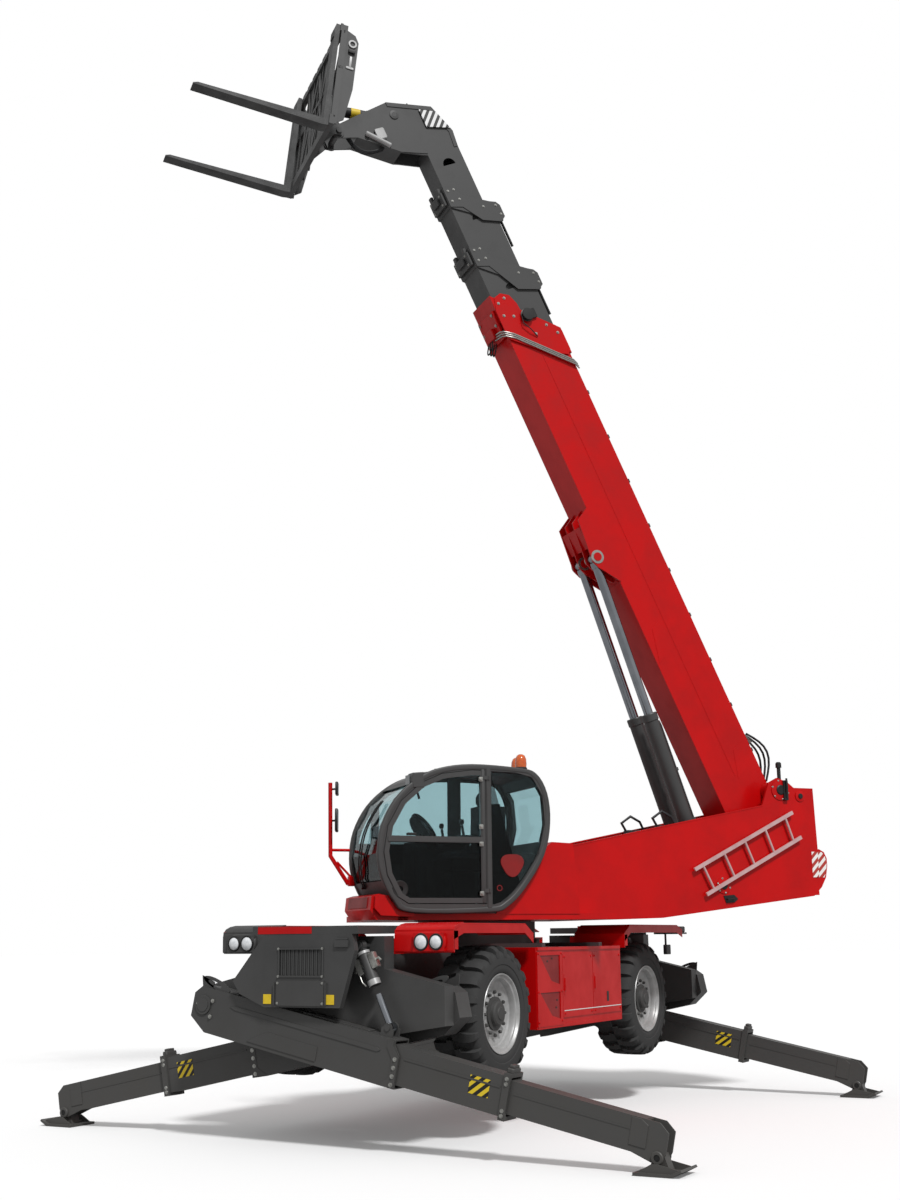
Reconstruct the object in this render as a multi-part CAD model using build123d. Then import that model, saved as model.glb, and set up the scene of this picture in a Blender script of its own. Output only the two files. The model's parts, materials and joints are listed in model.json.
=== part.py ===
from build123d import *
import math
import os

# Millimetres. X forward, Y to the machine's left, Z up. While building, X is 0 at the front axle
# and Z is 0 on the ground under the outrigger feet. The whole is centred over its bounding box at the end.

# Chassis
WHEELBASE = 3500
AXLE_Z = 1083
TRACK_OUTER = 1247
KINGPIN_INSET = 367
TYRE_WIDTH = 450
TYRE_RADIUS = 608
RIM_RADIUS = 345
KINGPIN_Y = TRACK_OUTER - KINGPIN_INSET
TREAD_DEPTH = 42
LUGS = 20
FRAME_HALF = 420
FRAME_LOW = 1260
FRAME_TOP = 1620
MAIN_FRONT = 640
REAR_OVERHANG = 1140
MAIN_REAR = -WHEELBASE - REAR_OVERHANG
DECK_TOP = 1885
TYRE_ROOM = 112
CABINET_FRONT = -TYRE_RADIUS - TYRE_ROOM
CABINET_REAR = -WHEELBASE + TYRE_RADIUS + TYRE_ROOM
CABINET_LOW = 900
CABINET_TOP = 1660
CABINET_OUTER = 1222

# Outriggers: a leg is built along its own X from its pivot, then placed with its slope.
LEG_SLOPE = 11.75
LEG_PIVOT_Y = 1150
LEG_PIVOT_Z = 1190
LEG_WIDTH = 220
LEG_WALL = 10
LEG_AXIS_DROP = 40
HOUSING_HALF = 195
STAGE_1_HALF = 160
STAGE_2_HALF = 132
STAGE_1_WIDTH = 184
STAGE_2_WIDTH = 152
STAGE_WALL = 8
HOUSING_END = 2120
STAGE_1_START = 1150
STAGE_1_END = 3166
STAGE_2_START = 2200
FOOT_PIN_S = 4466
FOOT_PIN_DROP = 162
LEG_EYE_S = 1930
LEG_EYE_RISE = 225
LEG_BARREL_Y = 470
LEG_BARREL_Z = 1700
LEG_FACE_FL = 1303
LEG_FACE_FR = 907
LEG_FACE_RL = MAIN_REAR - 33
LEG_FACE_RR = MAIN_REAR - 430
GAP = 10
PIN_GAP = 1

# Upper structure: U forward, V left and Z up about the slew axis, then turned by the slew angle.
SLEW_X = -WHEELBASE / 2
SLEW_ANGLE = -39.0
TURRET_LOW = 1930
RING_RADIUS = 640
PLATE_LEFT = 400
PLATE_RIGHT = -550
PLATE_THICK = 30
TAIL_U = -4140
CAB_INNER = 270
CAB_OUTER = 1200
CAB_WALL = 45

# Boom, in its own frame: S along it from the pivot, T square to it.
PIVOT_U = -3670
PIVOT_Z = 3390
LUFF = 64.3
BOOM_V = -75
BOOM_LOW = -650
BOOM_TOP = 35
BOOM_WIDTH = 470
BOOM_WALL = 10
BOOM_FOOT = -170
BOOM_TIP = 6620
SECTION_2 = (410, -622, 5, 750, 7250, 480)
SECTION_3 = (350, -594, -62, 1450, 8030, 330)
SECTION_4 = (294, -566, -132, 2100, 8560, 0)
SECTION_WALL = 8
EYE_S = 3320
EYE_T = -800
EYE_SPREAD = 170
LIFT_PIN_U = -2850
LIFT_PIN_Z = 2300
LIFT_BARREL = 2070
TILT_S = 9020
TILT_T = -1540
FORK_PITCH = 5.9
FORK_LENGTH = 1450
FORK_SPREAD = 780
CARRIAGE_HALF = 880


def box(x0, x1, y0, y1, z0, z1):
    return Pos((x0 + x1) / 2, (y0 + y1) / 2, (z0 + z1) / 2) * Box(x1 - x0, y1 - y0, z1 - z0)


def prism_x(points, x0, x1):
    face = make_face(Polyline([(x0, y, z) for y, z in points], close=True))
    return extrude(face, x1 - x0, dir=(1, 0, 0))


def prism_y(points, y0, y1):
    face = make_face(Polyline([(x, y0, z) for x, z in points], close=True))
    return extrude(face, y1 - y0, dir=(0, 1, 0))


def prism_z(points, z0, z1):
    face = make_face(Polyline([(x, y, z0) for x, y in points], close=True))
    return extrude(face, z1 - z0, dir=(0, 0, 1))


def rod_x(x0, x1, y, z, r):
    return Pos((x0 + x1) / 2, y, z) * Rot(0, 90, 0) * Cylinder(r, x1 - x0)


def rod_y(x, y0, y1, z, r):
    return Pos(x, (y0 + y1) / 2, z) * Rot(90, 0, 0) * Cylinder(r, y1 - y0)


def rod_z(x, y, z0, z1, r):
    return Pos(x, y, (z0 + z1) / 2) * Cylinder(r, z1 - z0)


def joined(*shapes):
    out = shapes[0]
    for shape in shapes[1:]:
        out = out + shape
    return out


def apart(*shapes):
    solids = []
    for shape in shapes:
        solids = solids + list(shape.solids())
    return Compound(solids)


def mirror_y(shape):
    return shape.mirror(Plane.XZ)


parts = {}

# Chassis frame. The legs cross it fore and aft of each cross frame, so the main box stops short of them.
CROSS_FRONT = (LEG_FACE_FR + GAP, LEG_FACE_FL - LEG_WIDTH - GAP)
CROSS_REAR = (LEG_FACE_RR + GAP, LEG_FACE_RL - LEG_WIDTH - GAP)
CROSS_OUTLINE = [
    (-1240, 1030),
    (-1240, 1360),
    (-640, 1500),
    (-640, 1780),
    (640, 1780),
    (640, 1500),
    (1240, 1360),
    (1240, 1030),
    (600, 930),
    (-600, 930),
]
AXLES_X = (0, -WHEELBASE)
frame = box(MAIN_REAR, MAIN_FRONT, -FRAME_HALF, FRAME_HALF, FRAME_LOW, FRAME_TOP)
frame = frame + prism_x(CROSS_OUTLINE, *CROSS_FRONT)
frame = frame + prism_x(CROSS_OUTLINE, *CROSS_REAR)
frame = frame + box(MAIN_FRONT - 5, CROSS_FRONT[0] + 5, -380, 380, 1460, FRAME_TOP)
frame = frame + box(CROSS_REAR[1] - 5, MAIN_REAR + 5, -380, 380, 1460, FRAME_TOP)
RING_LOW = FRAME_TOP + 50
frame = frame + rod_z(SLEW_X, 0, FRAME_TOP - 5, RING_LOW, FRAME_HALF - 10)
frame = frame + rod_z(SLEW_X, 0, RING_LOW - 5, TURRET_LOW - 10, RING_RADIUS)
for axle_x in AXLES_X:
    frame = frame + box(axle_x - 170, axle_x + 170, -230, 230, AXLE_Z + 135, FRAME_LOW + 5)
for side in (-1, 1):
    for x in (CABINET_REAR + 300, CABINET_FRONT - 380):
        hanger = box(x, x + 80, side * 779 - 364, side * 779 + 364, CABINET_TOP + 0.3, CABINET_TOP + 40)
        frame = frame + hanger + box(x, x + 80, side * 390 - 29, side * 390 + 29, FRAME_TOP - 5, CABINET_TOP + 40)

LEGS = {
    "front_left": (LEG_FACE_FL, 1, CROSS_FRONT, 1),
    "front_right": (LEG_FACE_FR, -1, CROSS_FRONT, -1),
    "rear_left": (LEG_FACE_RL, 1, CROSS_REAR, 1),
    "rear_right": (LEG_FACE_RR, -1, CROSS_REAR, -1),
}
LEG_PIN = 45
SMALL_PIN = 25


def leg_middle(name):
    return LEGS[name][0] - LEG_WIDTH / 2


for name, (face, side, cross, reach) in LEGS.items():
    middle = leg_middle(name)
    pivot_y = -side * LEG_PIVOT_Y
    if middle > sum(cross) / 2:
        far = middle + LEG_WIDTH / 2 + 20
        frame = frame + rod_x(cross[1] - 5, far, pivot_y, LEG_PIVOT_Z, LEG_PIN)
        frame = frame + rod_x(middle + LEG_WIDTH / 2 + 6, far, pivot_y, LEG_PIVOT_Z, LEG_PIN + 15)
        frame = frame + rod_x(cross[1] - 5, middle + 45, side * LEG_BARREL_Y, LEG_BARREL_Z, SMALL_PIN)
        frame = frame + rod_x(middle + 36, middle + 48, side * LEG_BARREL_Y, LEG_BARREL_Z, SMALL_PIN + 12)
    else:
        far = middle - LEG_WIDTH / 2 - 20
        frame = frame + rod_x(far, cross[0] + 5, pivot_y, LEG_PIVOT_Z, LEG_PIN)
        frame = frame + rod_x(far, middle - LEG_WIDTH / 2 - 6, pivot_y, LEG_PIVOT_Z, LEG_PIN + 15)
        frame = frame + rod_x(middle - 45, cross[0] + 5, side * LEG_BARREL_Y, LEG_BARREL_Z, SMALL_PIN)
        frame = frame + rod_x(middle - 48, middle - 36, side * LEG_BARREL_Y, LEG_BARREL_Z, SMALL_PIN + 12)
parts["chassis_frame"] = frame


# Outriggers
def leg_place(name):
    face, side, cross, reach = LEGS[name]
    slope = math.radians(LEG_SLOPE)
    along = (0, side * math.cos(slope), -math.sin(slope))
    upward = (0, side * math.sin(slope), math.cos(slope))
    return Plane(origin=(leg_middle(name), -side * LEG_PIVOT_Y, LEG_PIVOT_Z), x_dir=along, z_dir=upward).location


def leg_tube(start, end, width, half, wall):
    low = -LEG_AXIS_DROP - half
    high = -LEG_AXIS_DROP + half
    outer = box(start, end, -width / 2, width / 2, low, high)
    inner = box(start - 1, end + 1, -width / 2 + wall, width / 2 - wall, low + wall, high - wall)
    return outer - inner


def leg_housing():
    low = -LEG_AXIS_DROP - HOUSING_HALF
    high = -LEG_AXIS_DROP + HOUSING_HALF
    outline = [
        (-120, low + 110),
        (-120, high - 70),
        (-50, high),
        (HOUSING_END - 60, high),
        (HOUSING_END - 60, high - 40),
        (HOUSING_END, high - 120),
        (HOUSING_END, low),
        (60, low),
    ]
    body = prism_y(outline, -LEG_WIDTH / 2, LEG_WIDTH / 2)
    body = body - box(
        130,
        HOUSING_END + 10,
        -LEG_WIDTH / 2 + LEG_WALL,
        LEG_WIDTH / 2 - LEG_WALL,
        low + LEG_WALL,
        high - LEG_WALL,
    )
    body = body - rod_y(0, -LEG_WIDTH, LEG_WIDTH, 0, LEG_PIN + PIN_GAP)
    for y in (-52, 52):
        lug = box(LEG_EYE_S - 60, LEG_EYE_S + 60, y - 8, y + 8, high - 5, LEG_EYE_RISE)
        lug = lug + rod_y(LEG_EYE_S, y - 8, y + 8, LEG_EYE_RISE, 42)
        lug = lug + rod_y(LEG_EYE_S, y * 1.2 - 8, y * 1.2 + 8, LEG_EYE_RISE, SMALL_PIN)
        body = body + lug
    body = body + prism_y([(60, high - 5), (60, high + 60), (-90, high + 90), (-60, high - 5)], -90, -80)
    return body


def leg_stage_1():
    body = leg_tube(STAGE_1_START, STAGE_1_END, STAGE_1_WIDTH, STAGE_1_HALF, STAGE_WALL)
    low = -LEG_AXIS_DROP - STAGE_1_HALF
    high = -LEG_AXIS_DROP + STAGE_1_HALF
    rim = box(STAGE_1_END - 60, STAGE_1_END, -LEG_WIDTH / 2, LEG_WIDTH / 2, low - 25, high + 25)
    rim = rim - box(
        STAGE_1_END - 61,
        STAGE_1_END + 1,
        -STAGE_1_WIDTH / 2 + STAGE_WALL,
        STAGE_1_WIDTH / 2 - STAGE_WALL,
        low + STAGE_WALL,
        high - STAGE_WALL,
    )
    return body + rim


def leg_stage_2():
    low = -LEG_AXIS_DROP - STAGE_2_HALF
    high = -LEG_AXIS_DROP + STAGE_2_HALF
    body = leg_tube(STAGE_2_START, FOOT_PIN_S - 130, STAGE_2_WIDTH, STAGE_2_HALF, STAGE_WALL)
    outline = [
        (FOOT_PIN_S - 220, high),
        (FOOT_PIN_S - 220, low),
        (FOOT_PIN_S - 50, -FOOT_PIN_DROP - 45),
        (FOOT_PIN_S + 30, -FOOT_PIN_DROP - 45),
        (FOOT_PIN_S + 60, -FOOT_PIN_DROP + 40),
        (FOOT_PIN_S + 60, high - 60),
        (FOOT_PIN_S - 20, high),
    ]
    for y in (-STAGE_2_WIDTH / 2, STAGE_2_WIDTH / 2 - STAGE_WALL - 6):
        body = body + prism_y(outline, y, y + STAGE_WALL + 6)
    body = body + box(
        FOOT_PIN_S - 140,
        FOOT_PIN_S - 120,
        -STAGE_2_WIDTH / 2 + 2,
        STAGE_2_WIDTH / 2 - 2,
        low + 30,
        high - 4,
    )
    body = body + rod_y(FOOT_PIN_S, -STAGE_2_WIDTH / 2 - 4, STAGE_2_WIDTH / 2 + 4, -FOOT_PIN_DROP, SMALL_PIN)
    return body


def leg_foot():
    # Built flat in world axes about its pin, with the sole on the ground.
    height = foot_pin_z()
    sole = [
        (-170, -height),
        (-170, -height + 22),
        (130, -height + 22),
        (215, -height + 60),
        (225, -height + 42),
        (140, -height),
    ]
    body = prism_y(sole, -170, 170)
    web = [(-80, -height + 20), (-40, 30), (40, 30), (90, -height + 20)]
    bearing = prism_y(web, -52, 52) + rod_y(0, -52, 52, 0, 40)
    bearing = bearing - rod_y(0, -60, 60, 0, SMALL_PIN + PIN_GAP)
    return body + bearing


def leg_point(name, s, t):
    face, side, cross, reach = LEGS[name]
    slope = math.radians(LEG_SLOPE)
    y = -side * LEG_PIVOT_Y + side * (s * math.cos(slope) + t * math.sin(slope))
    z = LEG_PIVOT_Z - s * math.sin(slope) + t * math.cos(slope)
    return (leg_middle(name), y, z)


def foot_pin_z():
    slope = math.radians(LEG_SLOPE)
    return LEG_PIVOT_Z - FOOT_PIN_S * math.sin(slope) - FOOT_PIN_DROP * math.cos(slope)


def leg_cylinder(name):
    eye = leg_point(name, LEG_EYE_S, LEG_EYE_RISE)
    side = LEGS[name][1]
    top = (leg_middle(name), side * LEG_BARREL_Y, LEG_BARREL_Z)
    length = math.dist(eye, top)
    place = Plane(
        origin=top,
        x_dir=tuple((e - t) / length for e, t in zip(eye, top)),
        z_dir=(1, 0, 0),
    ).location
    return place, length


LEG_BARREL_LENGTH = 370
for name in LEGS:
    place = leg_place(name)
    side = LEGS[name][1]
    parts["leg_housing_" + name] = place * leg_housing()
    parts["leg_stage_1_" + name] = place * leg_stage_1()
    parts["leg_stage_2_" + name] = place * leg_stage_2()
    pin = leg_point(name, FOOT_PIN_S, -FOOT_PIN_DROP)
    foot_place = Plane(origin=pin, x_dir=(0, side, 0), z_dir=(0, 0, 1)).location
    parts["leg_foot_" + name] = foot_place * leg_foot()
    place, length = leg_cylinder(name)
    barrel = Rot(0, 90, 0) * Pos(0, 0, LEG_BARREL_LENGTH / 2 + 30) * Cylinder(52, LEG_BARREL_LENGTH - 60)
    barrel = barrel + Cylinder(48, 60) + Pos(30, 0, 0) * Box(60, 60, 60)
    barrel = barrel - Cylinder(SMALL_PIN + PIN_GAP, 80)
    hollow = Rot(0, 90, 0) * Pos(0, 0, LEG_BARREL_LENGTH / 2 + 60) * Cylinder(34, LEG_BARREL_LENGTH)
    parts["leg_barrel_" + name] = place * (barrel - hollow)
    rod_start = 100
    rod = Rot(0, 90, 0) * Pos(0, 0, (rod_start + 350 + length) / 2) * Cylinder(30, length - rod_start - 350)
    rod = rod + Pos(length, 0, 0) * Cylinder(42, 66)
    parts["leg_rod_" + name] = place * rod

# Axles, knuckles and wheels
KING_PIN = 22
BEAM_HALF = KINGPIN_Y - 140
ARM_ROOT = KINGPIN_Y - 190
POST_Y = KINGPIN_Y - 165
axles = []
for axle_x in AXLES_X:
    beam = rod_y(axle_x, -BEAM_HALF, BEAM_HALF, AXLE_Z, 95)
    beam = beam + rod_y(axle_x, -170, 170, AXLE_Z, 130)
    beam = beam + box(axle_x - 160, axle_x + 160, -210, 210, AXLE_Z, AXLE_Z + 134.7)
    for side in (-1, 1):
        y = side * KINGPIN_Y
        for z in (AXLE_Z - 165, AXLE_Z + 135):
            arm = box(axle_x - 50, axle_x + 50, min(side * ARM_ROOT, y), max(side * ARM_ROOT, y), z, z + 30)
            beam = beam + arm + rod_z(axle_x, y, z, z + 30, 50)
        post = box(axle_x - 60, axle_x + 60, side * POST_Y - 25, side * POST_Y + 25, AXLE_Z - 165, AXLE_Z + 165)
        beam = beam + post - rod_z(axle_x, y, AXLE_Z - 170, AXLE_Z + 170, KING_PIN + PIN_GAP)
    axles.append(beam)
parts["axles"] = apart(*axles)

KNUCKLE = rod_z(0, 0, -134, 134, 52)
KNUCKLE = KNUCKLE + rod_z(0, 0, -162, 162, KING_PIN)
KNUCKLE = KNUCKLE + rod_y(0, -60, 110, 0, 118)
KNUCKLE = KNUCKLE + rod_y(0, 60, 250, 0, 60)


def wheel_face():
    half = TYRE_WIDTH / 2
    profile = [
        (RIM_RADIUS - 20, -half + 60),
        (RIM_RADIUS + 15, -half + 25),
        (RIM_RADIUS + 80, -half),
        (TYRE_RADIUS - 105, -half),
        (TYRE_RADIUS - 60, -half + 40),
        (TYRE_RADIUS - TREAD_DEPTH, -130),
        (TYRE_RADIUS - TREAD_DEPTH, 130),
        (TYRE_RADIUS - 60, half - 40),
        (TYRE_RADIUS - 105, half),
        (RIM_RADIUS + 80, half),
        (RIM_RADIUS + 15, half - 25),
        (RIM_RADIUS - 20, half - 60),
    ]
    return make_face(Polyline([(r, y, 0) for r, y in profile], close=True))


def tyre():
    # Two staggered rows of tread bars, each bending down over the shoulder.
    half = TYRE_WIDTH / 2
    bars = []
    for side in (-1, 1):
        outline = [
            (side * 3, TYRE_RADIUS - TREAD_DEPTH - 14),
            (side * 3, TYRE_RADIUS - 1),
            (side * 150, TYRE_RADIUS - 1),
            (side * (half - 20), TYRE_RADIUS - 28),
            (side * half, TYRE_RADIUS - 95),
            (side * (half - 12), TYRE_RADIUS - 110),
            (side * 150, TYRE_RADIUS - 75),
        ]
        bar = Rot(0, 0, side * 8) * prism_x(outline, -30, 30)
        for i in range(LUGS):
            bars.append(Rot(0, (i + side * 0.25) * 360 / LUGS, 0) * bar)
    reach = Rot(90, 0, 0) * Cylinder(TYRE_RADIUS, TYRE_WIDTH)
    return (revolve(wheel_face(), Axis.Y, 360) + bars) & reach


def rim():
    half = TYRE_WIDTH / 2
    profile = [
        (RIM_RADIUS - 20.3, -half + 60),
        (RIM_RADIUS - 20.3, half - 60),
        (RIM_RADIUS + 12, half - 25),
        (RIM_RADIUS, half - 20),
        (RIM_RADIUS - 40, half - 60),
        (RIM_RADIUS - 60, half - 110),
        (200, half - 130),
        (170, half - 60),
        (90, half - 60),
        (90, half - 90),
        (62, half - 90),
        (62, half - 160),
        (RIM_RADIUS - 50, half - 160),
        (RIM_RADIUS - 45, -half + 60),
        (RIM_RADIUS - 15, -half + 10),
        (RIM_RADIUS + 12, -half + 25),
    ]
    return revolve(make_face(Polyline([(r, y, 0) for r, y in profile], close=True)), Axis.Y, 360)


WHEELS = {
    "front_left": (0, 1),
    "front_right": (0, -1),
    "rear_left": (-WHEELBASE, 1),
    "rear_right": (-WHEELBASE, -1),
}
WHEEL_Y = TRACK_OUTER - TYRE_WIDTH / 2
TYRE = tyre()
for name, (x, side) in WHEELS.items():
    turn = Rot(0, 0, 0 if side > 0 else 180)
    parts["knuckle_" + name] = Pos(x, side * KINGPIN_Y, AXLE_Z) * turn * KNUCKLE
    parts["tyre_" + name] = Pos(x, side * WHEEL_Y, AXLE_Z) * turn * TYRE
    parts["rim_" + name] = Pos(x, side * WHEEL_Y, AXLE_Z) * turn * rim()


# Covers, cabinets, fenders and lamps
def hollow_box(x0, x1, y0, y1, z0, z1, wall):
    return box(x0, x1, y0, y1, z0, z1) - box(x0 + wall, x1 - wall, y0 + wall, y1 - wall, z0 + wall, z1 - wall)


VENT_FRONT = CABINET_FRONT - 10
VENT_REAR = CABINET_FRONT - 570
DOOR_WIDTH = (VENT_REAR - CABINET_REAR - 50) / 2
cabinet = hollow_box(CABINET_REAR, CABINET_FRONT, FRAME_HALF + 0.3, CABINET_OUTER, CABINET_LOW, CABINET_TOP, 12)
vent = box(VENT_REAR, VENT_FRONT, CABINET_OUTER - 2, CABINET_OUTER + 12, CABINET_LOW + 20, CABINET_TOP - 40)
for u0, u1, z0, z1 in ((0.1, 0.9, 0.53, 0.9), (0.1, 0.9, 0.1, 0.44)):
    width = VENT_FRONT - VENT_REAR
    height = CABINET_TOP - CABINET_LOW
    corners = [
        (VENT_REAR + u0 * width, CABINET_LOW + z1 * height),
        (VENT_FRONT - (1 - u1) * width, CABINET_LOW + z1 * height),
        (VENT_REAR + 0.45 * width, CABINET_LOW + (z0 + 0.05) * height),
        (VENT_REAR + u0 * width, CABINET_LOW + z0 * height),
    ]
    vent = vent - prism_y(corners, CABINET_OUTER, CABINET_OUTER + 20)
cabinet = cabinet + vent
for i in range(2):
    x = VENT_REAR - 10 - i * (DOOR_WIDTH + 10)
    panel = box(x - DOOR_WIDTH, x, CABINET_OUTER - 2, CABINET_OUTER + 10, CABINET_LOW + 85, CABINET_TOP - 55)
    cabinet = cabinet + panel + box(x - 60, x - 35, CABINET_OUTER, CABINET_OUTER + 20, 1240, 1360)
parts["side_cabinets"] = apart(cabinet, mirror_y(cabinet))
ENGINE_LOW = CABINET_LOW + 12.3
parts["engine_block"] = box(-2400, -1300, -1150, -520, ENGINE_LOW, ENGINE_LOW + 640)

HOOD_FACE = [
    (-430, 1800),
    (-770, 1400),
    (-690, 1290),
    (-420, 1180),
    (380, 1180),
    (530, 1660),
    (500, 1800),
]
HOOD_X = (LEG_FACE_FL + 12, LEG_FACE_FL + 72)
HOOD_TOP = 1800
# Each cover is a face, a neck and a deck, a hair apart, so that the legs pass freely under the neck.
front_face = prism_x(HOOD_FACE, *HOOD_X)
front_neck = box(CROSS_FRONT[1] + 0.3, HOOD_X[0] - 0.3, -420, 370, 1480, HOOD_TOP)
front_deck = box(MAIN_FRONT, HOOD_X[1], -560, 560, HOOD_TOP + 0.3, 1870)
REAR_FACE = LEG_FACE_RR - LEG_WIDTH - 52
REAR_BACK = LEG_FACE_RR - LEG_WIDTH - 12
rear_face = prism_x(HOOD_FACE, REAR_FACE, REAR_BACK)
rear_neck = box(REAR_BACK + 0.3, CROSS_REAR[0] - 0.3, -340, 340, 1480, HOOD_TOP)
rear_deck = box(REAR_FACE, MAIN_REAR, -500, 500, HOOD_TOP + 0.3, 1870)


def cover_detail(cover, face, out):
    # A slatted grille in a recess, a raised service panel under it and its two grips.
    def slab(near, far, y0, y1, z0, z1):
        return box(min(face + out * near, face + out * far), max(face + out * near, face + out * far), y0, y1, z0, z1)

    cover = cover - slab(-22, 1, -260, 190, 1450, 1670)
    for i in range(GRILLE_SLATS):
        y = -260 + 450 * (i + 0.5) / GRILLE_SLATS
        cover = cover + slab(-23, -3, y - 8, y + 8, 1448, 1672)
    cover = cover + slab(-1, 10, -290, 220, 1195, 1405)
    for y in (-312, 232):
        cover = cover + slab(-1, 20, y, y + 12, 1200, 1390)
    for y in (-425, 240):
        cover = cover + slab(-1, 4, y, y + 85, 1208, 1290)
    cover = cover + slab(-1, 20, 330, 470, 1690, 1750)
    return cover


GRILLE_SLATS = 11
front_face = cover_detail(front_face, HOOD_X[1], 1)
rear_face = cover_detail(rear_face, REAR_FACE, -1)
parts["end_covers"] = apart(front_face, front_neck, front_deck, rear_face, rear_neck, rear_deck)


FENDER_INNER = 650


def fender(front, rear, nose, tail):
    outline = [
        (front, 1640),
        (front, nose),
        (front - 180, DECK_TOP),
        (rear + 180, DECK_TOP),
        (rear, tail),
        (rear + 12, tail - 8),
        (rear + 186, DECK_TOP - 12),
        (front - 186, DECK_TOP - 12),
        (front - 12, nose - 8),
        (front - 12, 1640),
    ]
    return prism_y(outline, FENDER_INNER, TRACK_OUTER)


fenders = []
FENDER_FRONT = MAIN_FRONT + 280
LAMP_SPOTS = (940, 1090)
LAMP_Z = 1725
LAMP_RADIUS = 62
bezel = box(FENDER_FRONT - 5, FENDER_FRONT + 34, 860, 1170, LAMP_Z - 80, LAMP_Z + 75)
for y in LAMP_SPOTS:
    bezel = bezel - rod_x(FENDER_FRONT, FENDER_FRONT + 50, y, LAMP_Z, LAMP_RADIUS + 4)
for x_front, x_rear, nose, tail in (
    (FENDER_FRONT, -MAIN_FRONT, 1830, 1790),
    (MAIN_FRONT - WHEELBASE, MAIN_REAR, 1790, 1830),
):
    shell = fender(x_front, x_rear, nose, tail)
    if x_front > 0:
        shell = shell + bezel
    middle = (x_front + x_rear) / 2
    shell = shell + box(middle - 300, middle + 300, FRAME_HALF + 0.3, FENDER_INNER + 10, 1700, DECK_TOP - 6)
    shell = shell + box(middle - 300, middle + 300, FRAME_HALF - 100, FRAME_HALF + 10, FRAME_TOP + 0.3, 1760)
    shell = shell - box(middle - 310, middle + 310, FRAME_HALF - 120, FRAME_HALF + 0.3, 1500, FRAME_TOP + 0.3)
    fenders.append(shell)
parts["fenders"] = apart(*fenders, *[mirror_y(f) for f in fenders])

lamps = []
for y in LAMP_SPOTS:
    lamps.append(rod_x(FENDER_FRONT + 0.3, FENDER_FRONT + 45, y, LAMP_Z, LAMP_RADIUS))
lamps.append(box(MAIN_REAR - 80, MAIN_REAR - 0.3, 900, 1200, 1790, 1870))
parts["lamps"] = apart(*lamps, *[mirror_y(lamp) for lamp in lamps])


# Upper structure
CAB_SIDE = [
    (330, 2000),
    (1150, 2000),
    (1330, 2110),
    (1450, 2330),
    (1490, 2560),
    (1450, 2830),
    (1310, 3090),
    (1090, 3290),
    (850, 3400),
    (500, 3450),
    (0, 3430),
    (-200, 3380),
    (-320, 3180),
    (-345, 2880),
    (-270, 2560),
    (-60, 2240),
    (130, 2060),
]


def cab_curve(grow, y):
    middle_u = 560
    middle_z = 2720
    points = []
    for u, z in CAB_SIDE:
        length = math.dist((u, z), (middle_u, middle_z))
        f = (length + grow) / length
        points.append((middle_u + (u - middle_u) * f, y, middle_z + (z - middle_z) * f))
    return points


def cab_prism(grow, y0, y1):
    face = make_face(Polyline(cab_curve(grow, y0), close=True))
    return extrude(face, y1 - y0, dir=(0, 1, 0))


SLEWED = Pos(SLEW_X, 0, 0) * Rot(0, 0, SLEW_ANGLE)
PLATE_OUTLINE = [
    (-820, 2690),
    (-2610, 3050),
    (-3420, 3210),
    (-3520, 3470),
    (-3640, 3530),
    (-3780, 3480),
    (-3860, 3420),
    (-4120, 3420),
    (TAIL_U, 2710),
    (-4060, 2190),
    (-2060, 1950),
    (-1130, TURRET_LOW),
    (-900, TURRET_LOW),
]
DECK_FRONT = 1250
turret = box(-1150, DECK_FRONT, PLATE_RIGHT, CAB_OUTER - 100, TURRET_LOW, TURRET_LOW + 60)
turret = turret + rod_z(0, 0, TURRET_LOW - 9.7, TURRET_LOW + 5, RING_RADIUS - 40)
turret = turret + prism_y(PLATE_OUTLINE, PLATE_LEFT - PLATE_THICK, PLATE_LEFT)
turret = turret + prism_y(PLATE_OUTLINE, PLATE_RIGHT, PLATE_RIGHT + PLATE_THICK)
FLOOR = [(-1100, TURRET_LOW), (-2060, 1950), (-4060, 2190), (-4060, 2220), (-2060, 1980), (-1100, TURRET_LOW + 30)]
turret = turret + prism_y(FLOOR, PLATE_RIGHT + 5, PLATE_LEFT - 5)
turret = turret + box(-4130, -3900, PLATE_RIGHT + 5, PLATE_LEFT - 5, 2200, 2640)
turret = turret + box(-920, -890, PLATE_RIGHT + 5, PLATE_LEFT - 5, TURRET_LOW + 5, TURRET_LOW + 350)
PIVOT_PIN = 60
inner_left = BOOM_V + BOOM_WIDTH / 2 + 8
inner_right = BOOM_V - BOOM_WIDTH / 2 - 8
turret = turret + rod_y(PIVOT_U, PLATE_RIGHT - 10, PLATE_LEFT + 10, PIVOT_Z, PIVOT_PIN)
turret = turret + rod_y(PIVOT_U, inner_left, PLATE_LEFT, PIVOT_Z, 110)
turret = turret + rod_y(PIVOT_U, PLATE_RIGHT, inner_right, PIVOT_Z, 110)
LIFT_PIN = 45
turret = turret + rod_y(LIFT_PIN_U, PLATE_RIGHT, PLATE_LEFT, LIFT_PIN_Z, LIFT_PIN)
FAIRING = [(230, TURRET_LOW + 55), (-330, 2640), (-400, 2700), (-640, 2690), (-700, TURRET_LOW + 55)]
turret = turret + (prism_y(FAIRING, PLATE_LEFT + 60, CAB_OUTER - 90) - cab_prism(8, CAB_INNER - 5, CAB_OUTER + 5))
turret = turret + box(-700, -640, PLATE_LEFT - 5, PLATE_LEFT + 65, TURRET_LOW + 5, 2680)
TAIL_CURVE = [
    (-4050, 2700),
    (-4170, 2722),
    (-4235, 2690),
    (-4270, 2620),
    (-4272, 2530),
    (-4245, 2400),
    (-4180, 2290),
    (-4100, 2215),
    (-4040, 2205),
]
turret = turret + prism_y(TAIL_CURVE, PLATE_RIGHT + 95, PLATE_LEFT - 20)
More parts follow.
